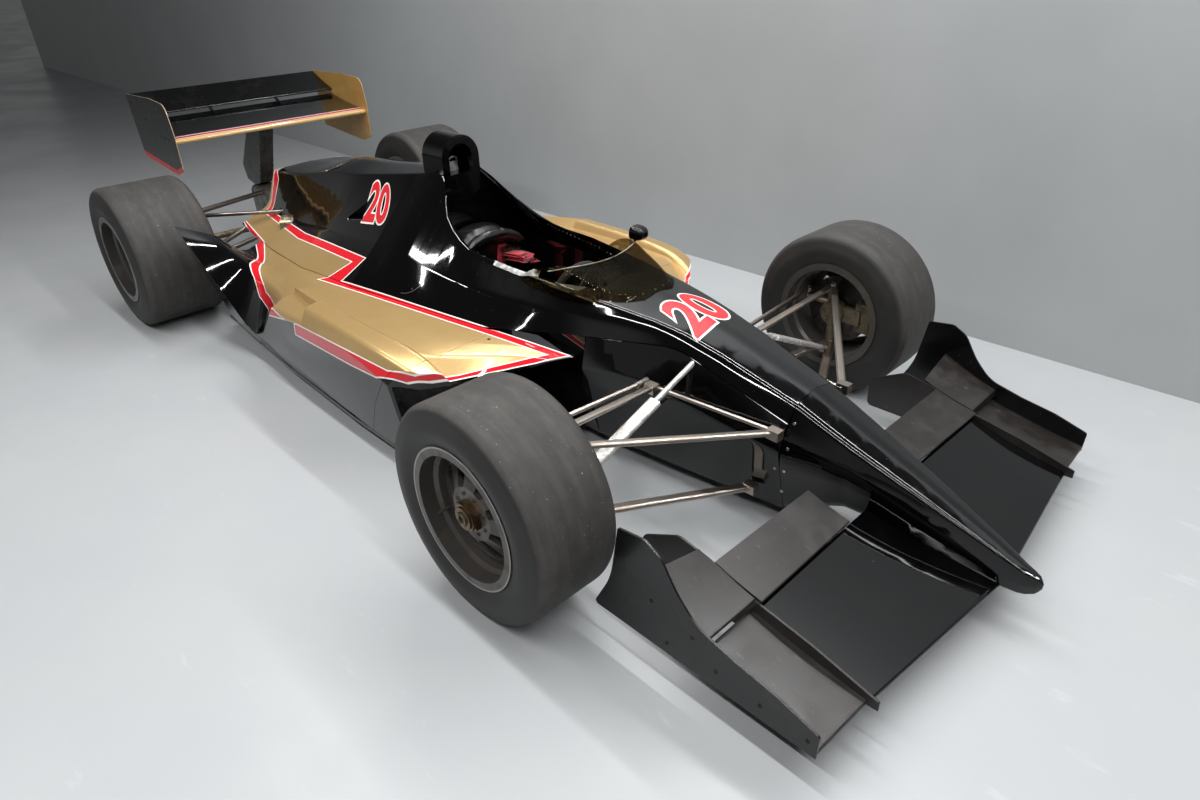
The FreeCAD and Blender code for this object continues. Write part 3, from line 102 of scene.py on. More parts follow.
class PaintSettings(bpy.types.PropertyGroup):
    """Body paint."""
    black: StringProperty(name="Black", description="Body lacquer, sRGB hex", default="040405")
    gold: StringProperty(name="Gold", description="Metallic gold, sRGB hex", default="c6a56e")
    red: StringProperty(name="Red", description="Stripe red, sRGB hex", default="cf1c28")
    white: StringProperty(name="White", description="Pinline white, sRGB hex", default="ece9e2")
    pinline: FloatProperty(name="Pinline", description="Width of the white lines beside the red",
                           default=6 * MM, unit="LENGTH")
    flake: FloatProperty(name="Flake", description="Size of the metal flakes in the gold",
                         default=0.7 * MM, unit="LENGTH")


class WheelSettings(bpy.types.PropertyGroup):
    """Wheels and their tyres."""
    lock_ring: FloatProperty(name="Lock ring", description="Radius of the ring on each wheel nut",
                             default=29 * MM, unit="LENGTH")


class CockpitSettings(bpy.types.PropertyGroup):
    """Seat and belts."""
    remesh: FloatProperty(name="Seat cover mesh", description="Size of the cover's cells",
                          default=7 * MM, unit="LENGTH")
    belt_width: FloatProperty(name="Belt", description="Width of the webbing", default=48 * MM,
                              unit="LENGTH")
    belt_colour: StringProperty(name="Belt colour", description="Webbing, sRGB hex", default="b8202f")


class FittingSettings(bpy.types.PropertyGroup):
    """Screws and rivets."""
    screw_radius: FloatProperty(name="Screw", description="Radius of a panel screw's head",
                                default=7 * MM, unit="LENGTH")
    rivet_radius: FloatProperty(name="Rivet", description="Radius of a rivet's head",
                                default=4.5 * MM, unit="LENGTH")
    sides: IntProperty(name="Sides", description="Sides of each round head", default=14)


# ---- materials: small helpers
def linear(hex_colour):
    """sRGB hex, such as "c8a45a", as a linear RGBA colour."""
    channels = []
    for start in (0, 2, 4):
        value = int(hex_colour[start:start + 2], 16) / 255
        channels.append(value / 12.92 if value <= 0.04045 else ((value + 0.055) / 1.055) ** 2.4)
    return (*channels, 1.0)


def add(tree, kind, inputs=None, **settings):
    """Adds a node and returns its first output. Each named or numbered input gets a value or a link."""
    new = tree.nodes.new(kind)
    for key, value in settings.items():
        setattr(new, key, value)
    for key, value in (inputs or {}).items():
        socket = new.inputs[key]
        if isinstance(value, bpy.types.NodeSocket):
            tree.links.new(value, socket)
        else:
            socket.default_value = value
    return next((output for output in new.outputs if output.enabled), None)


def maths(tree, operation, *values):
    """One value out of several, such as the sum or the least of them."""
    result = values[0]
    for value in values[1:]:
        result = add(tree, "ShaderNodeMath", {0: result, 1: value}, operation=operation)
    return result


def magnitude(tree, value):
    """Value without its sign."""
    return maths(tree, "ABSOLUTE", value, 0.0)


def apart(tree, place):
    """X, Y and Z of a place."""
    return add(tree, "ShaderNodeSeparateXYZ", {0: place}).node.outputs


def from_axle(tree, place, axle):
    """Place round an axle: ahead, above, distance from it, and distance from the car's middle."""
    x, y, z = apart(tree, place)
    ahead = maths(tree, "SUBTRACT", x, axle[0])
    above = maths(tree, "SUBTRACT", z, axle[1])
    flat = add(tree, "ShaderNodeCombineXYZ", {"X": ahead, "Y": 0.0, "Z": above})
    far = add(tree, "ShaderNodeVectorMath", {0: flat}, operation="LENGTH")
    return ahead, above, far, magnitude(tree, y)


def ramp(tree, value, start, end, low=0.0, high=1.0):
    """Value taken smoothly from low at start to high at end."""
    return add(tree, "ShaderNodeMapRange",
               {"Value": value, "From Min": start, "From Max": end, "To Min": low, "To Max": high},
               interpolation_type="SMOOTHSTEP")


def patches(tree, place, size_mm, start=0.45, end=0.65, detail=4.0):
    """Soft-edged patches of about one size, from 0 to 1."""
    noise = add(tree, "ShaderNodeTexNoise",
                {"Vector": place, "Scale": 1000 / size_mm, "Detail": detail, "Roughness": 0.6})
    return ramp(tree, noise, start, end)


def over(tree, mask, under, upper):
    """Colour upper where the mask is 1 and colour under where it is 0; either may be sRGB hex."""
    under, upper = (linear(shade) if isinstance(shade, str) else shade for shade in (under, upper))
    return add(tree, "ShaderNodeMixRGB", {"Fac": mask, "Color1": under, "Color2": upper})


def stretched(tree, place, x, y, z):
    """Place with each axis multiplied, for streaks and grain."""
    return add(tree, "ShaderNodeVectorMath", {0: place, 1: (x, y, z)}, operation="MULTIPLY")


def new_material(name):
    """Empty material with its node tree and its object coordinates."""
    material = bpy.data.materials.new(name)
    material.use_nodes = True
    tree = material.node_tree
    tree.nodes.clear()
    place = tree.nodes.new("ShaderNodeTexCoord").outputs["Object"]
    return material, tree, place


def finish_material(tree, **sockets):
    """Principled surface whose inputs are given by name, with underscores for spaces."""
    shader = add(tree, "ShaderNodeBsdfPrincipled",
                 {key.replace("_", " "): value for key, value in sockets.items()})
    add(tree, "ShaderNodeOutputMaterial", {"Surface": shader})


def relief(tree, height, depth_mm, strength=0.5):
    """Surface raised by a pattern."""
    return add(tree, "ShaderNodeBump", {"Height": height, "Strength": strength,
                                        "Distance": depth_mm * MM})


def grain(tree, place, scale, depth_mm, strength=0.5, detail=3.0):
    """Surface raised by an even noise."""
    noise = add(tree, "ShaderNodeTexNoise", {"Vector": place, "Scale": scale, "Detail": detail})
    return relief(tree, noise, depth_mm, strength)


def worn(name, colour, patch_colour, roughness, metallic=0.0, coat=0.0, patch_mm=70, grain_mm=1.2,
         grain_depth=0.1, speck_colour=None, speck_mm=14, speck_start=0.7):
    """Solid finish with cloudy patches of a second colour, a fine grain and, if asked, small specks."""
    material, tree, place = new_material(name)
    clouds = patches(tree, place, patch_mm)
    shade = over(tree, clouds, colour, patch_colour)
    if speck_colour:
        specks = patches(tree, place, speck_mm, speck_start, speck_start + 0.03, 2.0)
        shade = over(tree, specks, shade, speck_colour)
    gloss = ramp(tree, clouds, 0.0, 1.0, *roughness)
    finish_material(tree, Base_Color=shade, Roughness=gloss, Metallic=metallic, Coat_Weight=coat,
                    Coat_Roughness=0.04, Normal=grain(tree, place, 1000 / grain_mm, grain_depth))
    return material


def give(material, *nodes):
    """Puts one material on CAD nodes."""
    for name in nodes:
        mesh = frame["nodes"][name].data
        mesh.materials.clear()
        mesh.materials.append(material)


def both(name):
    """Names of a left and right pair of nodes."""
    return [name + "_left", name + "_right"]


def smoothed(*names, angle=24, reshape=None):
    """Stands a merged, smooth-shaded copy in for each CAD node; reshape may move its points."""
    for name in names:
        source = frame["nodes"][name]
        shape = bmesh.new()
        shape.from_mesh(source.data)
        bmesh.ops.remove_doubles(shape, verts=shape.verts[:], dist=1e-5)
        if reshape:
            for vert in shape.verts:
                reshape(vert.co)
        copy = new_piece(name + "_finish", shape, source.data.materials[0], body_of(source)[0])
        for layer in ("custom_normal", "sharp_face", "sharp_edge"):
            if layer in copy.data.attributes:
                copy.data.attributes.remove(copy.data.attributes[layer])
        copy.data.shade_smooth()
        copy.data.set_sharp_from_angle(angle=math.radians(angle))
        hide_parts(name)


# ---- geometry: small helpers
def surface_of(*names):
    """Search tree over the surfaces of CAD nodes."""
    shape = bmesh.new()
    for name in names:
        shape.from_mesh(frame["nodes"][name].data)
    tree = BVHTree.FromBMesh(shape)
    shape.free()
    return tree


def linked(name, data):
    """Object made from some data and put in the scene."""
    thing = bpy.data.objects.new(name, data)
    bpy.context.scene.collection.objects.link(thing)
    return thing


def new_piece(name, shape, material, body="chassis", smooth=False):
    """Turns a bmesh in the row frame into an object that rides on a CAD body."""
    mesh = bpy.data.meshes.new(name)
    shape.to_mesh(mesh)
    shape.free()
    if smooth:
        mesh.shade_smooth()
    piece = linked(name, mesh)
    mesh.materials.append(material)
    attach(piece, body)
    return piece


def facing(place, direction):
    """Placing whose Z axis points along a direction."""
    return Matrix.Translation(place) @ Vector(direction).to_track_quat("Z", "Y").to_matrix().to_4x4()


def sink(shape, verts, direction, rim, taper, depth):
    """Sinks a socket in the end face of some new points that stands furthest along a direction."""
    ends = {face for vert in verts for face in vert.link_faces if len(face.verts) > 4}
    top = max(ends, key=lambda face: face.calc_center_median().dot(Vector(direction)))
    bmesh.ops.inset_region(shape, faces=[top], thickness=rim)
    bmesh.ops.inset_region(shape, faces=[top], thickness=taper, depth=-depth)


def head(shape, place, direction, radius, height, sides, recess=True):
    """Domed screw or rivet head that stands on a surface; a screw has a sunk socket."""
    middle = facing(place, direction) @ Matrix.Translation((0, 0, height / 2))
    made = bmesh.ops.create_cone(shape, cap_ends=True, segments=sides, radius1=radius,
                                 radius2=radius * 0.72, depth=height, matrix=middle)
    if recess:
        sink(shape, made["verts"], direction, radius * 0.3, radius * 0.02, height * 0.6)


def box(shape, place, size, tilt=0.0):
    """Adds a box, tilted by some degrees about the car's width, and returns its corners."""
    return bmesh.ops.create_cube(shape, size=1.0, matrix=Matrix.Translation(place)
                                 @ Matrix.Rotation(math.radians(tilt), 4, "Y")
                                 @ Matrix.Diagonal((*size, 1.0)))["verts"]


def ease(shape, radius, chosen=None, segments=2):
    """Rounds the chosen edges, or else all of them."""
    bmesh.ops.bevel(shape, geom=chosen or shape.edges[:], offset=radius, segments=segments,
                    affect="EDGES", profile=0.5, material=-1)


def heads(name, places, nodes, material, radius, height, recess=True):
    """Row of heads, each set on the nearest surface of some CAD nodes."""
    sides = bpy.context.scene.racecar_fittings.sides
    skin = surface_of(*nodes)
    shape = bmesh.new()
    for place in places:
        found, normal, _, _ = skin.find_nearest(Vector(place) * MM)
        head(shape, found - normal * height * 0.2, normal, radius, height, sides, recess)
    return new_piece(name, shape, material)


def row(start, end, count):
    """Evenly spaced points from start to end."""
    start, end = Vector(start), Vector(end)
    return [start.lerp(end, index / (count - 1)) for index in range(count)]


def through_middle(left_side, middle):
    """Points from side to side, from the middle one and the left ones, outermost first."""
    return [(x, -y, z) for x, y, z in left_side] + [middle] + left_side[::-1]


def pressed_on(shape, skin, lift):
    """Moves each point of a thin shape to just above the nearest surface."""
    for vert in shape.verts:
        found, normal, _, _ = skin.find_nearest(vert.co)
        vert.co = found + normal * lift


def laid_on(shape, skin, direction, lift, cell=14 * MM):
    """Cuts a flat shape into small cells and lays it on a surface along a direction."""
    direction = Vector(direction).normalized()
    low = [min(v.co[i] for v in shape.verts) for i in range(3)]
    high = [max(v.co[i] for v in shape.verts) for i in range(3)]
    for axis in range(3):
        normal = Vector([float(i == axis) for i in range(3)])
        steps = int((high[axis] - low[axis]) / cell)
        for step in range(1, steps + 1):
            place = Vector(low)
            place[axis] = low[axis] + step * cell
            bmesh.ops.bisect_plane(shape, geom=shape.verts[:] + shape.edges[:] + shape.faces[:],
                                   plane_co=place, plane_no=normal)
    bmesh.ops.triangulate(shape, faces=shape.faces[:])
    for vert in shape.verts:
        found, normal, _, _ = skin.ray_cast(vert.co - direction * 0.3, direction, 0.6)
        if found is None:
            found, normal, _, _ = skin.find_nearest(vert.co)
        vert.co = found + normal * lift


def ribbon(shape, points, width, normal):
    """Flat strip along points, as quads joined edge to edge."""
    normal = Vector(normal)
    last = None
    for index, point in enumerate(points):
        ahead = points[min(index + 1, len(points) - 1)] - points[max(index - 1, 0)]
        side = ahead.cross(normal).normalized() * width / 2
        pair = [bmesh.ops.create_vert(shape, co=point + step)["vert"][0] for step in (-side, side)]
        if last:
            bmesh.ops.contextual_create(shape, geom=[*last, pair[1], pair[0]])
        last = pair


def shape_of(curve):
    """Shape of a curve or a text."""
    drawn = linked(curve.name, curve)
    mesh = bpy.data.meshes.new_from_object(drawn.evaluated_get(bpy.context.evaluated_depsgraph_get()))
    bpy.data.objects.remove(drawn)
    shape = bmesh.new()
    shape.from_mesh(mesh)
    return shape


def tube(name, points, radius, material):
    """Round tube along points in mm, with its corners eased."""
    curve = bpy.data.curves.new(name, "CURVE")
    curve.dimensions = "3D"
    curve.bevel_depth = radius
    curve.bevel_resolution = 2
    curve.use_fill_caps = True
    spline = curve.splines.new("NURBS")
    spline.points.add(len(points) - 1)
    for point, place in zip(spline.points, points):
        point.co = (*(Vector(place) * MM), 1.0)
    spline.order_u = 3
    spline.use_endpoint_u = True
    spline.resolution_u = 6
    shape = shape_of(curve)
    bmesh.ops.recalc_face_normals(shape, faces=shape.faces[:])
    return new_piece(name, shape, material, smooth=True)


def flat_text(word, thicken):
    """Numeral drawn flat, its lines thickened by a share of its height."""
    curve = bpy.data.curves.new(word, "FONT")
    curve.body = word
    curve.offset = thicken
    curve.resolution_u = 6
    shape = shape_of(curve)
    bmesh.ops.remove_doubles(shape, verts=shape.verts[:], dist=1e-5)
    return shape


# ---- body paint
def edge(tree, chart, start, end):
    """Distance in mm to the left of the line from start to end, on the paint chart."""
    (x0, t0), (x1, t1) = start, end
    length = math.hypot(x1 - x0, t1 - t0)
    across = ((t0 - t1) / length, (x1 - x0) / length)
    plane = (across[0], across[1], -across[0] * x0 - across[1] * t0)
    return add(tree, "ShaderNodeVectorMath", {0: chart, 1: plane}, operation="DOT_PRODUCT")


def edges(tree, chart, *points):
    """Distances to the left of each length of a run of points."""
    return [edge(tree, chart, start, end) for start, end in zip(points, points[1:])]


def racing_masks(tree, place, pinline_mm):
    """Masks of the red band, its white lines and the gold panel, from 0 to 1.

    The chart has the length along the car as x, and as t the distance out from the middle less
    the height, both in mm. The gold panel is what lies within an upper, a lower and a rear edge.
    The red band lies between that panel's edge and a second set of edges outside it.
    """
    x, y, z = apart(tree, stretched(tree, place, 1000, 1000, 1000))
    height = maths(tree, "SUBTRACT", magnitude(tree, y), z)
    chart = add(tree, "ShaderNodeCombineXYZ", {"X": x, "Y": height, "Z": 1.0})

    def run(*points):
        return edges(tree, chart, *points)

    # Outside edges of the red band
    step = maths(tree, "MINIMUM", *run((-247, -123), (-308, 58)),
                 maths(tree, "MAXIMUM", *run((-900, -124), (-308, -124)),
                       *run((-1384, -183), (-900, -127))))
    tail = maths(tree, "MINIMUM", *run((-1440, -492), (-1375, -400), (-1360, -172)))
    upper = maths(tree, "MAXIMUM", *run((-308, 58), (700, -96)), step, tail)
    lower = maths(tree, "MINIMUM", *run((856, -83), (815, -5), (736, 115), (650, 245), (601, 312),
                                        (544, 371), (415, 423), (229, 438), (-236, 459)))
    slanted = edge(tree, chart, (-226, 455), (-190, 393))
    rear = run((-542, 441), (-758, 388), (-836, 298), (-965, 208), (-1170, 103), (-1384, 18))
    rear_outer = maths(tree, "MINIMUM", rear[0], maths(tree, "MAXIMUM", *rear[1:]))

    # Edges of the gold panel
    inner_step = maths(tree, "MINIMUM", *run((-329, -71), (-446, 126)),
                       maths(tree, "MAXIMUM", *run((-955, -65), (-329, -65)),
                             *run((-1302, -127), (-955, -74))))
    inner_upper = maths(tree, "MAXIMUM", *run((-446, 122), (700, -52)), inner_step,
                        *run((-1441, -400), (-1420, -253)))
    sill = maths(tree, "MAXIMUM", *run((471, 360), (-178, 397)), *run((-200, 402), (-354, 428)))
    inner_lower = maths(tree, "MINIMUM", *run((800, -60), (642, 212), (563, 318), (471, 360)), sill)
    rear = run((-384, 393), (-688, 335), (-1152, 49), (-1349, -3))
    inner_rear = maths(tree, "MINIMUM", rear[0], maths(tree, "MAXIMUM", *rear[1:]))

    lower = maths(tree, "MAXIMUM", maths(tree, "MINIMUM", lower, slanted), inner_lower)
    outside = maths(tree, "MINIMUM", upper, lower, rear_outer)
    inside = maths(tree, "MINIMUM", inner_upper, inner_lower, inner_rear)

    # Only the outer face of a panel is painted
    normal = tree.nodes.new("ShaderNodeNewGeometry").outputs["Normal"]
    outward = add(tree, "ShaderNodeCombineXYZ", {"X": 0.6, "Y": maths(tree, "SIGN", y, 0.0), "Z": 0.0})
    facing_out = add(tree, "ShaderNodeVectorMath", {0: normal, 1: outward}, operation="DOT_PRODUCT")
    shown = maths(tree, "MAXIMUM", ramp(tree, facing_out, 0.0, 0.05),
                  ramp(tree, apart(tree, normal)["Z"], 0.05, 0.1))

    red = maths(tree, "MULTIPLY", ramp(tree, outside, -0.5, 0.5), shown)
    gold = maths(tree, "MULTIPLY", ramp(tree, inside, -0.5, 0.5), shown)
    past_first = ramp(tree, outside, pinline_mm - 0.5, pinline_mm + 0.5)
    before_last = ramp(tree, inside, -pinline_mm - 0.5, -pinline_mm + 0.5, 1.0, 0.0)
    body = maths(tree, "MULTIPLY", past_first, before_last)
    return red, body, gold


def racing_paint(colours):
    """Black lacquer with the gold panel and its red band: deep gloss, a little dust in the film."""
    material, tree, place = new_material("racing_paint")
    red, body, gold = racing_masks(tree, place, colours.pinline * 1000)
    dust = patches(tree, place, 240, 0.5, 0.85)
    flake = add(tree, "ShaderNodeTexVoronoi", {"Vector": place, "Scale": 1 / colours.flake})
    flake_light = ramp(tree, flake, 0.2, 0.9, 0.9, 1.12)
    metal = over(tree, dust, colours.gold, "bd9a5f")
    metal = add(tree, "ShaderNodeVectorMath", {0: metal, "Scale": flake_light}, operation="SCALE")
    specks = patches(tree, place, 16, 0.74, 0.76, 2.0)
    black = over(tree, specks, over(tree, dust, colours.black, "0a0a0a"), "2e2d2b")
    band = over(tree, body, colours.white, colours.red)
    shade = over(tree, gold, over(tree, red, black, band), metal)
    gloss = maths(tree, "ADD", maths(tree, "MULTIPLY", gold, 0.26),
                  ramp(tree, dust, 0.0, 1.0, 0.05, 0.12))
    finish_material(tree, Base_Color=shade, Roughness=gloss, Coat_Weight=0.3, Coat_Roughness=0.04,
                    Metallic=maths(tree, "MULTIPLY", gold, 0.55),
                    Normal=grain(tree, place, 14.0, 0.1, 0.2, 1.0))
    return material


def black_lacquer(name, colours, gloss=(0.04, 0.1), chip_start=0.76):
    """Polished black panels: dust clouds dull the gloss, stone chips show pale."""
    material, tree, place = new_material(name)
    dust = patches(tree, place, 180, 0.45, 0.8)
    chips = patches(tree, place, 15, chip_start, chip_start + 0.02, 2.0)
    shade = over(tree, dust, colours.black, "0a0909")
    shade = over(tree, chips, shade, "3b3835")
    scratch = add(tree, "ShaderNodeTexNoise",
                  {"Vector": stretched(tree, place, 6.0, 240.0, 240.0), "Scale": 1.0, "Detail": 2.0})
    lay = add(tree, "ShaderNodeTexNoise", {"Vector": place, "Scale": 12.0, "Detail": 1.0})
    wave = maths(tree, "ADD", lay, maths(tree, "MULTIPLY", scratch, 0.002))
    finish_material(tree, Base_Color=shade, Roughness=ramp(tree, dust, 0.0, 1.0, *gloss),
                    Specular_IOR_Level=0.42, Coat_Weight=0.1, Coat_Roughness=0.03,
                    Normal=relief(tree, wave, 0.08, 0.2))
    return material


def bare_carbon(name, light, dark, gloss=(0.3, 0.5), tow_mm=3.0):
    """Unpainted carbon laminate: woven tows under thin resin, clouded by handling."""
    material, tree, place = new_material(name)
    tows = add(tree, "ShaderNodeTexChecker",
               {"Vector": stretched(tree, place, 1, 1, 0.7), "Scale": 1000 / tow_mm,
                "Color1": (0.4, 0.4, 0.4, 1.0), "Color2": (0.62, 0.62, 0.62, 1.0)})
    clouds = patches(tree, place, 90, 0.38, 0.72, 6.0)
    shade = over(tree, clouds, linear(dark), linear(light))
    shade = add(tree, "ShaderNodeVectorMath", {0: shade, 1: tows}, operation="MULTIPLY")
    shade = add(tree, "ShaderNodeVectorMath", {0: shade, "Scale": 1.9}, operation="SCALE")
    scuffs = patches(tree, stretched(tree, place, 1.0, 4.0, 4.0), 60, 0.62, 0.75, 6.0)
    shade = over(tree, maths(tree, "MULTIPLY", scuffs, 0.35), shade, "6f6964")
    finish_material(tree, Base_Color=shade, Roughness=ramp(tree, clouds, 0.0, 1.0, *gloss),
                    Coat_Weight=0.25, Coat_Roughness=0.2, Normal=relief(tree, tows, 0.12, 0.4))
    return material


def slick_rubber(name, wheel):
    """Used slick: grey-brown scrubbed tread with picked-up grit, darker satin side walls."""
    material, tree, place = new_material(name)
    ahead, above, far, across = from_axle(tree, place, wheel.axle)
    turn = maths(tree, "ARCTAN2", above, ahead)
    tread = ramp(tree, far, wheel.tyre - 0.018, wheel.tyre - 0.009)
    rolled = add(tree, "ShaderNodeCombineXYZ",
                 {"X": turn, "Y": maths(tree, "MULTIPLY", across, 26.0), "Z": far})
    scrub = ramp(tree, add(tree, "ShaderNodeTexNoise", {"Vector": rolled, "Scale": 1.6, "Detail": 5.0}),
                 0.35, 0.7)
    marbled = patches(tree, place, 45, 0.4, 0.68, 8.0)
    top = over(tree, scrub, "353331", "423f3c")
    top = over(tree, maths(tree, "MULTIPLY", marbled, 0.5), top, "2b2927")
    grit = patches(tree, place, 8, 0.735, 0.76, 2.0)
    top = over(tree, grit, top, "a39d95")
    wall = over(tree, patches(tree, place, 120, 0.4, 0.7, 5.0), "1d1c1b", "262423")
    rings = maths(tree, "SINE", maths(tree, "MULTIPLY", far, 700.0), 0.0)
    fine = add(tree, "ShaderNodeTexNoise", {"Vector": place, "Scale": 420.0, "Detail": 4.0})
    height = maths(tree, "ADD", fine, maths(tree, "MULTIPLY", rings, 0.08))
    gloss = maths(tree, "ADD", maths(tree, "MULTIPLY", tread, 0.12), 0.58)
    finish_material(tree, Base_Color=over(tree, tread, wall, top), Roughness=gloss,
                    Normal=relief(tree, height, 0.5, 0.6))
    return material


def wheel_paint(name, wheel):
    """Dark grey wheel paint, dusty inside, with bare metal round the rim's lip."""
    material, tree, place = new_material(name)
    _, _, far, across = from_axle(tree, place, wheel.axle)
    bare = maths(tree, "MULTIPLY", ramp(tree, far, FLANGE - 0.006, FLANGE - 0.004),
                 ramp(tree, across, wheel.lip - 0.006, wheel.lip - 0.004))
    dust = patches(tree, place, 60, 0.4, 0.7, 5.0)
    shade = over(tree, dust, "4b4947", "4a433c")
    chips = patches(tree, place, 12, 0.72, 0.75, 2.0)
    shade = over(tree, chips, shade, "77716a")
    shade = over(tree, bare, shade, "9a9691")
    finish_material(tree, Base_Color=shade, Metallic=ramp(tree, bare, 0.0, 1.0, 0.35, 1.0),
                    Roughness=ramp(tree, dust, 0.0, 1.0, 0.3, 0.5),
                    Normal=grain(tree, place, 500.0, 0.08))
    return material


class RACECAR_OT_bodywork(bpy.types.Operator):
    """Paints the body panels and the wings, and lays the race numbers on them"""
    bl_idname = "racecar.bodywork"
    bl_label = "Bodywork"

    def execute(self, context):
        colours = context.scene.racecar_paint
        lacquer = black_lacquer("black_lacquer", colours)
        give(racing_paint(colours), "top_cover", "engine_cover", *both("sidepod"),
             *both("sidepod_intake"), *both("kick_up"))
        give(lacquer, "monocoque", "nose_cone", "roll_hoop", "cockpit_bulkhead", "mirror_left",
             "front_wing_main")
        give(black_lacquer("satin_black", colours, (0.25, 0.4), 0.72), *both("front_wing_end_plate"),
             "rear_wing_flap")
        give(bare_carbon("bare_carbon", "25211f", "1c1816"), "front_wing_flaps", "front_wing_fences")
        give(bare_carbon("dark_carbon", "3a3836", "232120", (0.2, 0.4)), "rear_wing_post", "underfloor")
        give(self.main_plane_paint(colours), "rear_wing_main")
        give(self.end_plate_paint(colours), "rear_wing_end_plates")
        smoothed("top_cover", "engine_cover", "monocoque", "nose_cone", "roll_hoop",
                 *both("sidepod"), *both("sidepod_intake"), *both("kick_up"))
        self.numerals(colours)
        return {"FINISHED"}

    def main_plane_paint(self, colours):
        """Black plane whose leading edge carries gold, white and red lines."""
        material, tree, place = new_material("main_plane_paint")
        ahead = apart(tree, place)["X"]
        dust = patches(tree, place, 120, 0.45, 0.8)
        shade = over(tree, dust, colours.black, "121112")
        for start, paint in ((-1.824, colours.white), (-1.815, colours.red), (-1.786, colours.white),
                             (-1.777, colours.gold)):
            shade = over(tree, ramp(tree, ahead, start - 0.0004, start + 0.0004), shade, paint)
        finish_material(tree, Base_Color=shade, Roughness=ramp(tree, dust, 0.0, 1.0, 0.12, 0.25),
                        Coat_Weight=0.7, Coat_Roughness=0.04,
                        Normal=grain(tree, place, 20.0, 0.3, 0.3, 2.0))
        return material

    def end_plate_paint(self, colours):
        """Plates black outside with a red foot, gold inside, and painted pale along their edges."""
        material, tree, place = new_material("end_plate_paint")
        x, y, z = apart(tree, place)
        out = magnitude(tree, y)
        outside = ramp(tree, out, 0.5395, 0.5405)
        inside = ramp(tree, out, 0.5365, 0.5375, 1.0, 0.0)
        dust = patches(tree, place, 110, 0.45, 0.8)
        black = over(tree, dust, colours.black, "131212")
        chart = add(tree, "ShaderNodeCombineXYZ", {"X": x, "Y": z, "Z": MM})
        chart = stretched(tree, chart, 1000, 1000, 1000)
        above_foot = maths(tree, "MINIMUM",
                           *edges(tree, chart, (-2300, 686), (-1836, 650), (-1746, 679)))
        black = over(tree, ramp(tree, above_foot, -0.5, 0.5, 1.0, 0.0), black, colours.red)
        gold = over(tree, dust, "c79c58", "b88c4c")
        # The plates' thin edges, between the black outside and the gold inside, are painted pale
        shade = over(tree, outside, "a89a86", black)
        shade = over(tree, inside, shade, gold)
        finish_material(tree, Base_Color=shade, Roughness=ramp(tree, dust, 0.0, 1.0, 0.25, 0.4),
                        Metallic=maths(tree, "MULTIPLY", inside, 0.3),
                        Coat_Weight=0.4, Coat_Roughness=0.1, Normal=grain(tree, place, 60.0, 0.3, 0.3))
        return material

    def numerals(self, colours):
        """Race number on the nose and on both sides of the engine cover."""
        red = worn("number_red", colours.red, "c4232d", (0.15, 0.25), coat=0.7)
        white = worn("number_white", colours.white, "ddd8cf", (0.2, 0.3), coat=0.6)
        # Where each number's corners stand in mm: top left, top right, bottom left, bottom right, as read
        nose = ((1077, -82, 573), (1062, 90, 575), (1272, -110, 535), (1252, 105, 545))
        right = ((-505, -157, 740), (-359, -158, 743), (-439, -284, 599), (-249, -277, 624))
        left = [(x, -y, z) for x, y, z in (right[1], right[0], right[3], right[2])]
        # Then the panels it lies on and the way it was pressed on
        numbers = (("nose_number", nose, ["top_cover"], (0, 0, -1)),
                   ("cover_number_right", right, ["engine_cover", "top_cover"], (0, 0.75, -0.66)),
                   ("cover_number_left", left, ["engine_cover", "top_cover"], (0, -0.75, -0.66)))
        for name, corners, panels, direction in numbers:
            top_left, top_right, low_left, low_right = (Vector(corner) * MM for corner in corners)
            skin = surface_of(*panels)
            for suffix, thicken, lift, finish in (("_edge", 0.068, 0.4 * MM, white),
                                                  ("", 0.035, 0.8 * MM, red)):
                shape = flat_text("20", thicken)
                across = [v.co.x for v in shape.verts]
                tall = [v.co.y for v in shape.verts]
                slim = 0.033 if suffix else 0.0  # what the white edge adds all round
                left, right = min(across) + slim, max(across) - slim
                foot, crown = min(tall) + slim, max(tall) - slim
                for vert in shape.verts:
                    u = (vert.co.x - left) / (right - left)
                    v = (vert.co.y - foot) / (crown - foot)
                    low = low_left.lerp(low_right, u)
                    vert.co = low.lerp(top_left.lerp(top_right, u), v)
                laid_on(shape, skin, direction, lift)
                new_piece(name + suffix, shape, finish, smooth=True)


# ---- wheels, links and drive line
def fins(name, colour, gap_mm, axis):
    """Radiator core: thin bright fins, with painted shade in the gaps between them."""
    material, tree, place = new_material(name)
    along = apart(tree, place)[axis]
    wave = maths(tree, "SINE", maths(tree, "MULTIPLY", along, 2000 * math.pi / gap_mm), 0.0)
    fin = ramp(tree, wave, -0.2, 0.4)
    dust = patches(tree, place, 50, 0.4, 0.7)
    # The gaps between the fins are painted near black: painted shade deep in the core
    shade = over(tree, fin, "141414", over(tree, dust, colour, "5b5148"))
    finish_material(tree, Base_Color=shade, Metallic=ramp(tree, fin, 0.0, 1.0, 0.0, 0.9),
                    Roughness=0.45, Normal=relief(tree, fin, 1.0, 1.0))
    return material


def heated_pipe(name):
    """Stainless exhaust: pale at its mouth, then heat tints that go from straw to blue-grey."""
    material, tree, place = new_material(name)
    cloud = add(tree, "ShaderNodeTexNoise", {"Vector": place, "Scale": 30.0, "Detail": 3.0})
    along = maths(tree, "ADD", apart(tree, place)["X"], maths(tree, "MULTIPLY", cloud, 0.05))
    shade = over(tree, ramp(tree, along, -1.16, -1.09), "d2ccc2", "b7a184")
    shade = over(tree, ramp(tree, along, -1.09, -1.04), shade, "5f5a66")
    finish_material(tree, Base_Color=shade, Metallic=1.0, Normal=grain(tree, place, 300.0, 0.1),
                    Roughness=ramp(tree, cloud, 0.3, 0.7, 0.25, 0.5))
    return material


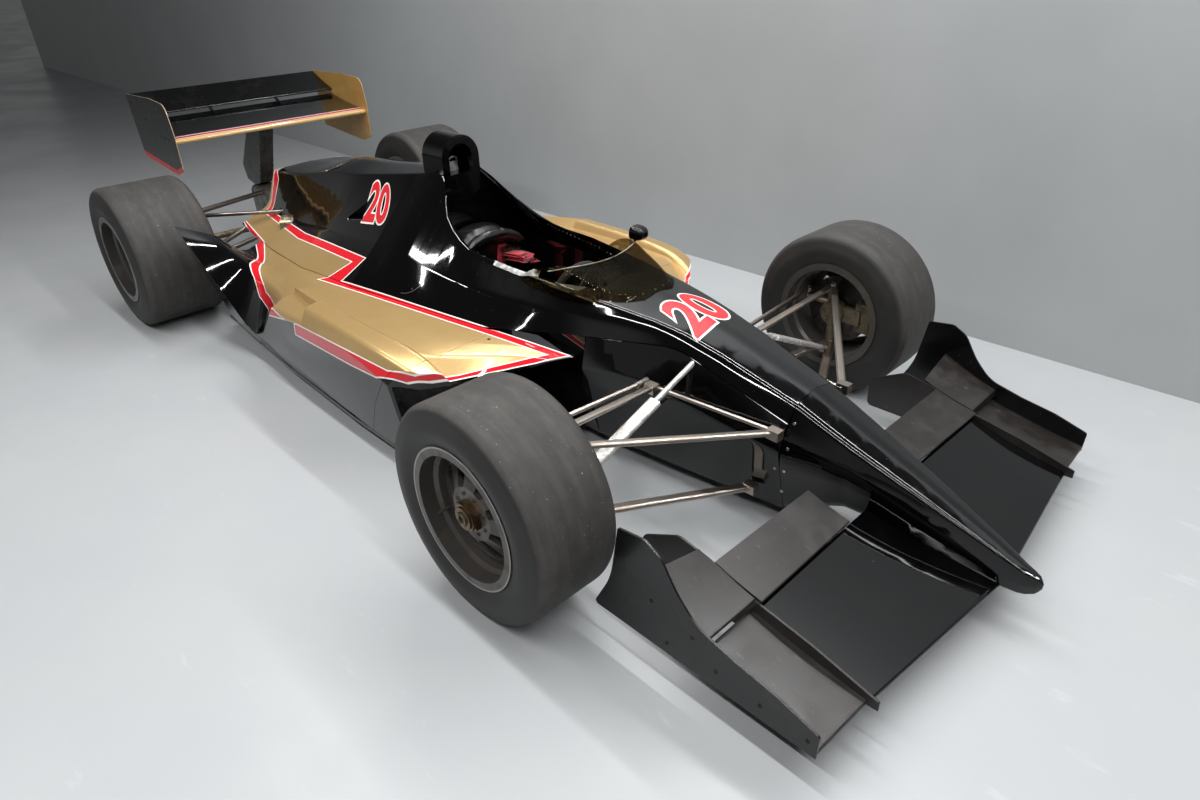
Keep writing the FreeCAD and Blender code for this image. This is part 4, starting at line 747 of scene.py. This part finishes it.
class RACECAR_OT_running_gear(bpy.types.Operator):
    """Finishes the tyres, wheels, links and drive line, and adds the wheels' small fittings"""
    bl_idname = "racecar.running_gear"
    bl_label = "Running gear"

    def execute(self, context):
        steel = worn("nickelled_steel", "b0a79e", "998d83", (0.3, 0.42), metallic=1.0, patch_mm=200,
                     grain_mm=0.8, grain_depth=0.008, speck_colour="7a6e64", speck_mm=5, speck_start=0.8)
        bronze = worn("bronzed_fittings", "75624a", "54452f", (0.3, 0.5), metallic=1.0, patch_mm=14,
                      speck_colour="a89675", speck_mm=5, speck_start=0.74)
        cast = worn("cast_magnesium", "6a604e", "4c4336", (0.45, 0.65), metallic=0.6, patch_mm=30,
                    grain_mm=1.5, grain_depth=0.3)
        alloy = worn("cast_alloy", "8b8985", "6a6762", (0.4, 0.6), metallic=0.8, patch_mm=35,
                     grain_mm=1.5, grain_depth=0.3, speck_colour="35302b", speck_mm=10)
        white_rod = worn("satin_white_metal", "d4d2ce", "a9a6a1", (0.25, 0.4), metallic=0.45,
                         patch_mm=30, speck_colour="5c5751", speck_mm=7)
        for end, wheel in (("front", FRONT), ("rear", REAR)):
            give(slick_rubber(end + "_rubber", wheel), *both(end + "_tyre"))
            give(wheel_paint(end + "_wheel_paint", wheel), *both(end + "_rim"))
        give(steel, "front_wishbones", "rear_wishbones", "rear_pushrods", "steering_rack")
        give(white_rod, "front_pushrods")
        give(worn("brake_iron", "4d4a48", "383431", (0.3, 0.5), metallic=0.9, patch_mm=25),
             *both("front_hub"))
        give(cast, *both("front_upright"), *both("rear_upright"), *both("rear_hub"))
        give(alloy, "engine_block", "gearbox")
        give(fins("radiator_core", "8d8f90", 3.5, "Z"), *both("radiator"))
        give(heated_pipe("heated_pipe"), "exhaust_tailpipe")
        smoothed(*both("front_rim"), angle=35, reshape=self.shallow_dish)
        self.wheel_fittings(context.scene.racecar_wheels, steel, bronze)
        return {"FINISHED"}

    def shallow_dish(self, place):
        """Stands the middle of a front wheel 22 mm further out than its CAD node has it."""
        reach = math.hypot(place.x - FRONT.axle[0], place.z - FRONT.axle[1])
        if reach < 0.166 and 0.880 < abs(place.y) < 0.955:
            place.y += math.copysign(0.022 * min(1.0, (0.172 - reach) / 0.020), place.y)

    def wheel_fittings(self, sizes, steel, bronze):
        """Lock ring, nut, drive pins, valve and balance weights for each wheel."""
        # The front nut's steps: sides, radius, how far out each starts, and its length
        nut_steps = ((6, 0.0485, 0.966, 0.020), (32, 0.041, 0.986, 0.006), (32, 0.033, 0.992, 0.006))
        pin_circle, valve_circle, weight_circle = 0.060, 0.162, 0.1895
        lead = worn("balance_lead", "8f8e8b", "77756f", (0.5, 0.6), metallic=0.6)
        for end, wheel in (("front", FRONT), ("rear", REAR)):
            for side, sign in SIDES:
                body = "%s_wheel_%s" % (end, side)
                outward = Vector((0, sign, 0))

                def spot(degrees, radius, out):
                    """Place at an angle and a radius round the axle, so far out from the middle."""
                    angle = math.radians(degrees)
                    return Vector((wheel.axle[0] + radius * math.cos(angle), sign * out,
                                   wheel.axle[1] + radius * math.sin(angle)))

                ring = bmesh.new()
                bmesh.ops.create_circle(ring, cap_ends=True, segments=32, radius=sizes.lock_ring,
                                        matrix=facing(spot(0, 0, wheel.nut + 0.0005), outward))
                middle = ring.faces[:]
                bmesh.ops.inset_region(ring, faces=middle, thickness=0.007, use_boundary=True)
                bmesh.ops.delete(ring, geom=middle, context="FACES")
                bmesh.ops.inset_region(ring, faces=ring.faces[:], thickness=0.001, depth=0.003,
                                       use_boundary=True)
                new_piece("%s_lock_ring_%s" % (end, side), ring, steel, body)

                if end == "front":
                    nut = bmesh.new()
                    for sides, radius, start, length in nut_steps:
                        made = bmesh.ops.create_cone(
                            nut, cap_ends=True, segments=sides, radius1=radius, radius2=radius * 0.97,
                            depth=length, matrix=facing(spot(0, 0, start + length / 2), outward))
                    sink(nut, made["verts"], outward, 0.011, 0.0003, 0.004)
                    new_piece("front_nut_" + side, nut, bronze, body)

                pins = bmesh.new()
                for turn in range(8):
                    place = spot(45 * turn + 22.5, pin_circle, wheel.web)
                    head(pins, place, outward, 0.0065, 0.006, 12)
                new_piece("%s_drive_pins_%s" % (end, side), pins, bronze, body)

                valve = bmesh.new()
                place = spot(205, valve_circle, wheel.web - 0.004)
                bmesh.ops.create_cone(valve, cap_ends=True, segments=10, radius1=0.0050, radius2=0.0035,
                                      depth=0.036, matrix=facing(place, outward))
                new_piece("%s_valve_%s" % (end, side), valve, steel, body)

                weights = bmesh.new()
                for degrees in (118, 122, 301):
                    place = spot(degrees, weight_circle, wheel.web + 0.022)
                    box(weights, place, (0.004, 0.020, 0.012), -degrees)
                ease(weights, 0.001)
                new_piece("%s_balance_weights_%s" % (end, side), weights, lead, body)


# ---- cockpit
def padded_cloth():
    """Black coated cloth: a fine leather grain with a soft shine, rubbed duller in patches."""
    material, tree, place = new_material("seat_cover_cloth")
    grain = add(tree, "ShaderNodeTexVoronoi", {"Vector": place, "Scale": 520.0})
    rubbed = patches(tree, place, 80, 0.45, 0.75, 5.0)
    shade = over(tree, rubbed, "0b0b0c", "161515")
    finish_material(tree, Base_Color=shade, Roughness=ramp(tree, rubbed, 0.0, 1.0, 0.3, 0.5),
                    Normal=relief(tree, grain, 0.2, 0.4))
    return material


def webbing(colour):
    """Belt webbing: ribbed across its width, sun-faded in patches."""
    material, tree, place = new_material("belt_webbing")
    ribs = add(tree, "ShaderNodeTexWave", {"Vector": place, "Scale": 300.0, "Distortion": 0.5},
               bands_direction="Z")
    faded = patches(tree, place, 40, 0.45, 0.7)
    shade = over(tree, faded, colour, "c94a55")
    finish_material(tree, Base_Color=shade, Roughness=0.75, Sheen_Weight=0.2,
                    Normal=relief(tree, ribs, 0.3, 0.6))
    return material


class RACECAR_OT_cockpit(bpy.types.Operator):
    """Finishes the screen and the steering wheel, and fits the padded seat and the belts"""
    bl_idname = "racecar.cockpit"
    bl_label = "Cockpit"

    def execute(self, context):
        settings = context.scene.racecar_cockpit
        give(self.screen_material(), "windscreen")
        give(worn("suede_grip", "161514", "24211f", (0.8, 0.9), patch_mm=25, grain_mm=0.6,
                  grain_depth=0.3), "steering_wheel")
        self.seat(settings)
        self.belts(settings)
        return {"FINISHED"}

    def screen_material(self):
        """Smoked polycarbonate: clear to look through, mirror-like at a glance, clouded in patches."""
        material, tree, place = new_material("smoked_polycarbonate")
        haze = patches(tree, place, 60, 0.45, 0.8, 6.0)
        clear = add(tree, "ShaderNodeBsdfTransparent",
                    {"Color": over(tree, haze, "e6dfcd", "d2cab7")})
        drawn = stretched(tree, place, 60.0, 500.0, 500.0)
        shine = add(tree, "ShaderNodeBsdfPrincipled",
                    {"Base Color": linear("0c0b0a"), "Roughness": ramp(tree, haze, 0.0, 1.0, 0.04, 0.2),
                     "Normal": grain(tree, drawn, 1.0, 0.05, 0.3, 2.0)})
        glance = add(tree, "ShaderNodeLayerWeight", {"Blend": 0.25}).node.outputs["Fresnel"]
        share = maths(tree, "ADD", maths(tree, "MULTIPLY", glance, 0.55),
                      maths(tree, "MULTIPLY", haze, 0.06))
        both_ways = add(tree, "ShaderNodeMixShader", {0: share, 1: clear, 2: shine})
        add(tree, "ShaderNodeOutputMaterial", {"Surface": both_ways})
        return material

    def seat(self, settings):
        """Padded cover made from the seat's own shape, swelled under pressure."""
        source = frame["nodes"]["seat"]
        shape = bmesh.new()
        shape.from_mesh(source.data)
        bmesh.ops.remove_doubles(shape, verts=shape.verts[:], dist=1e-5)
        bolster = box(shape, (0.012, 0, 0.572), (0.110, 0.300, 0.072))
        ease(shape, 0.026, list({side for corner in bolster for side in corner.link_edges}), 4)
        long_edges = [side for side in shape.edges if side.calc_length() > 0.1]
        bmesh.ops.subdivide_edges(shape, edges=long_edges, cuts=6, use_grid_fill=True)
        # The top falls by 70 mm towards its corners
        for vert in shape.verts:
            lift = max(0.0, min(1.0, (vert.co.z - 0.45) / 0.15))
            vert.co.z -= 0.07 * lift * (abs(vert.co.y) / 0.165) ** 2.5
        cover = new_piece("seat_cover", shape, padded_cloth())
        bpy.context.view_layer.objects.active = cover
        remesh = cover.modifiers.new("Cells", "REMESH")
        remesh.mode = "VOXEL"
        remesh.voxel_size = settings.remesh
        self.keep_modified(cover)
        self.swell(cover)
        smooth = cover.modifiers.new("Rounding", "SUBSURF")
        smooth.levels = smooth.render_levels = 1
        cover.data.shade_smooth()
        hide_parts("seat")

    def keep_modified(self, piece):
        """Makes the piece's modifiers its own mesh."""
        depsgraph = bpy.context.evaluated_depsgraph_get()
        mesh = bpy.data.meshes.new_from_object(piece.evaluated_get(depsgraph), depsgraph=depsgraph)
        piece.modifiers.clear()
        piece.data = mesh

    def swell(self, cover):
        """Cloth under inner pressure, its movement held to what padding would allow."""
        most, frames = 6 * MM, 20
        before = [vert.co.copy() for vert in cover.data.vertices]
        cloth = cover.modifiers.new("Cloth", "CLOTH")
        cloth.settings.use_pressure = True
        cloth.settings.uniform_pressure_force = 4.0
        cloth.settings.effector_weights.gravity = 0.0
        cloth.settings.tension_stiffness = 20.0
        cloth.point_cache.frame_start = 1
        cloth.point_cache.frame_end = frames
        scene = bpy.context.scene
        for number in range(1, frames + 1):
            scene.frame_set(number)
        self.keep_modified(cover)
        scene.frame_set(1)
        for vert, start in zip(cover.data.vertices, before):
            moved = vert.co - start
            if moved.length > most:
                vert.co = start + moved.normalized() * most

    def belts(self, settings):
        """Two shoulder belts down the seat's back, and the rest of their webbing folded in a pile."""
        cloth = webbing(settings.belt_colour)
        skin = surface_of("seat")
        shape = bmesh.new()
        for sign in (-1, 1):
            points = []
            for step in range(25):
                share = step / 24
                guess = Vector((0.030 + 0.035 * share, sign * (0.075 - 0.02 * share),
                                0.520 - 0.24 * share))
                found, normal, _, _ = skin.ray_cast(Vector((0.5, guess.y, guess.z)), Vector((-1, 0, 0)))
                points.append((found or guess) + Vector((0.012, 0, 0)))
            ribbon(shape, points, settings.belt_width, (1, 0, 0))
        # The pile: two lengths laid to and fro, each fold a little out of line with the last
        for strand, (start, along) in enumerate((((0.085, 0.088, 0.462), (0.80, 0.10, 0.05)),
                                                 ((0.070, 0.122, 0.452), (0.78, 0.16, -0.02)))):
            start, along = Vector(start), Vector(along).normalized()
            upward = Vector((-0.2, 0.0, 1.0)).normalized()
            points = []
            for fold in range(4):
                for step in range(9):
                    share = step / 8 if fold % 2 == 0 else 1 - step / 8
                    bulge = math.sin(math.pi * step / 8) * 0.003
                    lean = Vector((0, 0.004 * math.sin(fold * 2.1 + strand), 0))
                    points.append(start + along * (0.115 - 0.008 * fold) * share
                                  + upward * (0.009 * fold + bulge) + lean)
            ribbon(shape, points, settings.belt_width, upward)
        belts = new_piece("shoulder_belts", shape, cloth, smooth=True)
        thick = belts.modifiers.new("Webbing", "SOLIDIFY")
        thick.thickness = 2.5 * MM
        thick.offset = 1.0
        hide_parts("harness")

        buckle = worn("belt_adjuster_steel", "a19d97", "7e7a74", (0.25, 0.4), metallic=1.0, patch_mm=12)
        frames = bmesh.new()
        for y, z in ((0.088, 0.505), (0.122, 0.495)):
            box(frames, (0.075, y, z), (0.034, 0.056, 0.005), 12)
        ease(frames, 0.0015)
        new_piece("belt_adjusters", frames, buckle)


# ---- small fittings
class RACECAR_OT_fittings(bpy.types.Operator):
    """Sets the screws, rivets, bolts and hatch lines, and trims the mirror, the screen and the hoop"""
    bl_idname = "racecar.fittings"
    bl_label = "Fittings"

    def execute(self, context):
        sizes = context.scene.racecar_fittings
        dark = worn("dark_screw_steel", "2e2b28", "4b4640", (0.3, 0.45), metallic=1.0, patch_mm=5)
        bright = worn("bright_rivet_alloy", "b9b6b0", "8f8b85", (0.25, 0.4), metallic=1.0, patch_mm=5)
        screw, rivet = sizes.screw_radius, sizes.rivet_radius
        heads("cockpit_wall_rivets", row((190, 224, 592), (560, 221, 551), 17), ["top_cover"], bright,
              rivet, 2.5 * MM, recess=False)
        heads("pod_seam_screws", [(x, sign * y, z) for x, y, z in ((585, 408, 415), (520, 620, 250),
                                                                   (-350, 420, 350), (-350, 620, 300))
                                  for sign in (-1, 1)],
              both("sidepod") + both("sidepod_intake"), dark, screw, 2 * MM)
        for side, sign in SIDES:
            # Each row: its name, the left side's places, the panels it sits on, finish, radius, height
            rows = (
                ("nose_screws_", [(1645, 146, 314), (1641, 117, 386), (1641, 145, 233), (1632, 140, 140),
                                  (1612, 147, 314), (1612, 150, 233)],
                 ["nose_cone", "monocoque"], bright, screw * 0.8, 2.0),
                ("end_plate_bolts_", [(1714, 807, 229), (1764, 807, 124), (1842, 807, 198),
                                      (1914, 807, 143), (2038, 807, 134), (2159, 807, 128)],
                 ["front_wing_end_plate_" + side], dark, screw, 1.6),
                ("rear_plate_bolts_", [(-1830, 541, 800), (-1880, 541, 803), (-1930, 541, 806),
                                       (-2120, 541, 870), (-2280, 541, 940)],
                 ["rear_wing_end_plates"], dark, screw, 1.6),
                ("post_rivets_", row((-2000, 40, 470), (-2010, 40, 800), 8),
                 ["rear_wing_post"], bright, rivet, 1.2),
            )
            for name, places, nodes, material, radius, height in rows:
                heads(name + side, [(x, sign * y, z) for x, y, z in places], nodes, material, radius,
                      height * MM, recess="rivet" not in name)
            self.hatch(side, sign, dark)
        self.mirror()
        self.screen_trim(bright)
        self.hoop_fittings(bright)
        return {"FINISHED"}

    def hatch(self, side, sign, dark):
        """Round access panel beside the cockpit: its cut line, drawn grey as a groove with a painted
        highlight along it, and its screws.
        """
        centre = Vector((32, sign * 360, 508)) * MM
        outward = Vector((0, sign * 0.75, 0.66)).normalized()
        across = Vector((1, 0, 0))
        up = outward.cross(across).normalized()

        def round_it(radius, turns):
            """Points round the panel's middle, at some angles in degrees."""
            return [centre + (across * math.cos(turn) + up * math.sin(turn)) * radius
                    for turn in map(math.radians, turns)]

        shape = bmesh.new()
        ribbon(shape, round_it(85 * MM, range(0, 361, 6)), 2.5 * MM, outward)
        bmesh.ops.remove_doubles(shape, verts=shape.verts[:], dist=1e-5)
        pressed_on(shape, surface_of("top_cover"), 0.4 * MM)
        # The cut line is grey, lighter than the black panel: partly the groove, partly a painted
        # highlight along it
        cut_line_and_highlight = worn("hatch_groove_highlight_" + side, "4a4743", "2c2a28", (0.5, 0.7))
        new_piece("hatch_line_" + side, shape, cut_line_and_highlight, smooth=True)
        places = [place / MM for place in round_it(73 * MM, range(15, 375, 60))]
        heads("hatch_screws_" + side, places, ["top_cover"], dark, 4.5 * MM, 1.5 * MM)

    def screen_trim(self, bright):
        """Pale tube along the screen's edge, its colour a painted highlight, with the screen's row of
        screws and the strip of clouded tape beside it.
        """
        # The pale tube along the screen's aft edge is a painted highlight of the clear edge
        screen_edge_highlight_plastic = worn("screen_edge_painted_highlight", "b9b5ab", "8d8980", (0.15, 0.35), coat=0.4)
        aft = through_middle([(695, 230, 654), (716, 205, 652), (737, 163, 650), (760, 100, 648)],
                             (777, 0, 645))
        skin = surface_of("windscreen")
        on_screen = [skin.find_nearest(Vector(point) * MM)[0] / MM for point in aft]
        tube("screen_edge", on_screen, 1.6 * MM, screen_edge_highlight_plastic)
        foot = through_middle([(887, 183, 567), (930, 150, 574), (965, 100, 581), (985, 50, 585)],
                              (993, 0, 585))
        heads("screen_screws", foot, ["windscreen"], bright, 4 * MM, 1.5 * MM)
        tape = worn("clouded_tape", "8f908f", "c9c9c6", (0.3, 0.5), coat=0.3, patch_mm=22,
                    speck_colour="e2e2de", speck_mm=9, speck_start=0.66)
        rim = surface_of("top_cover", "windscreen")
        shape = bmesh.new()
        points = [rim.find_nearest(Vector(point) * MM)[0] for point in
                  row((395, -219, 612), (470, -221, 612), 4) + row((490, -222, 613), (655, -226, 624), 7)]
        ribbon(shape, points, 26 * MM, (0, -0.75, 0.66))
        bmesh.ops.subdivide_edges(shape, edges=shape.edges[:], cuts=2, use_grid_fill=True)
        pressed_on(shape, rim, 0.8 * MM)
        new_piece("rim_tape", shape, tape, smooth=True)

    def hoop_fittings(self, bright):
        """Plate and shackle in the roll hoop's opening."""
        plate = bmesh.new()
        box(plate, (-0.128, -0.008, 0.822), (0.004, 0.072, 0.052), -12)
        ease(plate, 0.0012)
        grey = worn("hoop_plate", "9a9a98", "7b7a77", (0.35, 0.5), metallic=0.6, patch_mm=18)
        new_piece("hoop_plate", plate, grey)
        tube("hoop_shackle", through_middle([(-122, 22, 838), (-118, 24, 860)], (-116, 0, 872)),
             3.5 * MM, bright)

    def mirror(self):
        """Mirror glass on the head's rear face."""
        behind = Vector((0.2, 0.298, 0.637))
        found, normal, _, _ = surface_of("mirror_left").ray_cast(behind, Vector((1, 0, 0)))
        shape = bmesh.new()
        bmesh.ops.create_circle(shape, cap_ends=True, segments=40, radius=0.026,
                                matrix=facing(found + normal * 0.4 * MM, normal))
        glass = worn("mirror_glass", "c9cdd0", "b5babd", (0.02, 0.05), metallic=1.0, patch_mm=30)
        new_piece("mirror_glass", shape, glass)


# ---- stage
CAMERA_PLACE = (2.6515, -1.8491, 1.5960)
CAMERA_PITCH, CAMERA_YAW, CAMERA_ROLL = 0.523, 2.381, -0.031  # radians
WALL_Y = 1.62
STRIP_X, STRIP_LENGTH, STRIP_WIDTH = 1.3, 7.6, 0.10


def painted_floor(colour):
    """Painted concrete: broad faint clouds, long scuffs, satin sealer that throws back the lights."""
    material, tree, place = new_material("floor_paint")
    clouds = patches(tree, place, 900, 0.3, 0.7, 5.0)
    scuffs = patches(tree, stretched(tree, place, 1.0, 3.0, 1.0), 220, 0.62, 0.72, 6.0)
    shade = over(tree, clouds, colour, "a5a8aa")
    shade = over(tree, maths(tree, "MULTIPLY", scuffs, 0.3), shade, "bfc2c4")
    gloss = maths(tree, "ADD", ramp(tree, clouds, 0.0, 1.0, 0.34, 0.42),
                  maths(tree, "MULTIPLY", scuffs, 0.08))
    finish_material(tree, Base_Color=shade, Roughness=gloss,
                    Normal=grain(tree, place, 60.0, 0.3, 0.3, 4.0))
    return material


def painted_wall(colour):
    """Matt wall paint with roller marks; seen from behind it lets the view through."""
    material, tree, place = new_material("wall_paint")
    clouds = patches(tree, place, 700, 0.3, 0.7, 4.0)
    shade = over(tree, clouds, colour, "9fa2a3")
    paint = add(tree, "ShaderNodeBsdfPrincipled",
                {"Base Color": shade, "Roughness": 0.6, "Normal": grain(tree, place, 90.0, 0.3, 0.3)})
    behind = add(tree, "ShaderNodeNewGeometry").node.outputs["Backfacing"]
    through = add(tree, "ShaderNodeBsdfTransparent")
    sides = add(tree, "ShaderNodeMixShader", {0: behind, 1: paint, 2: through})
    add(tree, "ShaderNodeOutputMaterial", {"Surface": sides})
    return material


class RACECAR_OT_stage(bpy.types.Operator):
    """Lays the floor and sets the lights and the camera"""
    bl_idname = "racecar.stage"
    bl_label = "Stage"

    def execute(self, context):
        scene = context.scene
        scene.view_settings.view_transform = "Standard"
        settings = scene.racecar_stage
        wall_turn = Matrix.Translation((0, WALL_Y, 15.0)) @ Matrix.Rotation(math.radians(90), 4, "X")
        for name, size, turn, finish in (("floor", 70.0, Matrix(), painted_floor(settings.floor_colour)),
                                         ("wall", 15.0, wall_turn, painted_wall(settings.wall_colour))):
            shape = bmesh.new()
            bmesh.ops.create_grid(shape, x_segments=1, y_segments=1, size=size, matrix=turn)
            mesh = bpy.data.meshes.new(name)
            shape.to_mesh(mesh)
            shape.free()
            mesh.materials.append(finish)
            linked(name, mesh)

        world = bpy.data.worlds.new("studio")
        world.use_nodes = True
        tree = world.node_tree
        background = tree.nodes["Background"]
        above = apart(tree, tree.nodes.new("ShaderNodeTexCoord").outputs["Generated"])["Z"]
        room = over(tree, ramp(tree, above, 0.12, 0.5), "9a9b9b", "3c3c3d")
        tree.links.new(room, background.inputs["Color"])
        background.inputs["Strength"].default_value = settings.dome
        scene.world = world

        for name, across, height in (("strip_near", -2.8, 3.6), ("strip_middle", -0.8, 3.9),
                                     ("strip_far", 1.2, 3.6)):
            light = bpy.data.lights.new(name, "AREA")
            light.shape = "RECTANGLE"
            light.size, light.size_y = STRIP_LENGTH, STRIP_WIDTH
            light.energy = settings.strip_power
            linked(name, light).location = (STRIP_X, across, height)

        camera = bpy.data.cameras.new("camera")
        camera.lens = settings.lens_mm
        camera.sensor_width = 36.0
        camera.clip_end = 100.0
        forward = Vector((math.cos(CAMERA_YAW) * math.cos(CAMERA_PITCH),
                          math.sin(CAMERA_YAW) * math.cos(CAMERA_PITCH), -math.sin(CAMERA_PITCH)))
        right = Vector((math.sin(CAMERA_YAW), -math.cos(CAMERA_YAW), 0.0))
        turn = Matrix((right, right.cross(forward), -forward)).transposed()
        scene.camera = linked("camera", camera)
        scene.camera.matrix_world = (Matrix.Translation(CAMERA_PLACE) @ turn.to_4x4()
                                     @ Matrix.Rotation(CAMERA_ROLL, 4, "Z"))
        return {"FINISHED"}


class RACECAR_PT_panel(bpy.types.Panel):
    """Racing car steps in the sidebar"""
    bl_idname = "RACECAR_PT_panel"
    bl_label = "Racing car"
    bl_space_type = "VIEW_3D"
    bl_region_type = "UI"
    bl_category = "Racing car"

    def draw(self, context):
        for operator in STEPS:
            self.layout.operator(operator.bl_idname)


STEPS = (RACECAR_OT_bodywork, RACECAR_OT_running_gear, RACECAR_OT_cockpit, RACECAR_OT_fittings,
         RACECAR_OT_stage)
SETTINGS = {"racecar_stage": StageSettings, "racecar_paint": PaintSettings,
            "racecar_wheels": WheelSettings, "racecar_cockpit": CockpitSettings,
            "racecar_fittings": FittingSettings}
CLASSES = (*SETTINGS.values(), *STEPS, RACECAR_PT_panel)


def register():
    for item in CLASSES:
        bpy.utils.register_class(item)
    for name, group in SETTINGS.items():
        setattr(bpy.types.Scene, name, PointerProperty(type=group))


def unregister():
    for name in SETTINGS:
        delattr(bpy.types.Scene, name)
    for item in reversed(CLASSES):
        bpy.utils.unregister_class(item)


def main():
    register()
    for operator in STEPS:
        group, name = operator.bl_idname.split(".")
        getattr(getattr(bpy.ops, group), name)()


if __name__ == "__main__":
    main()
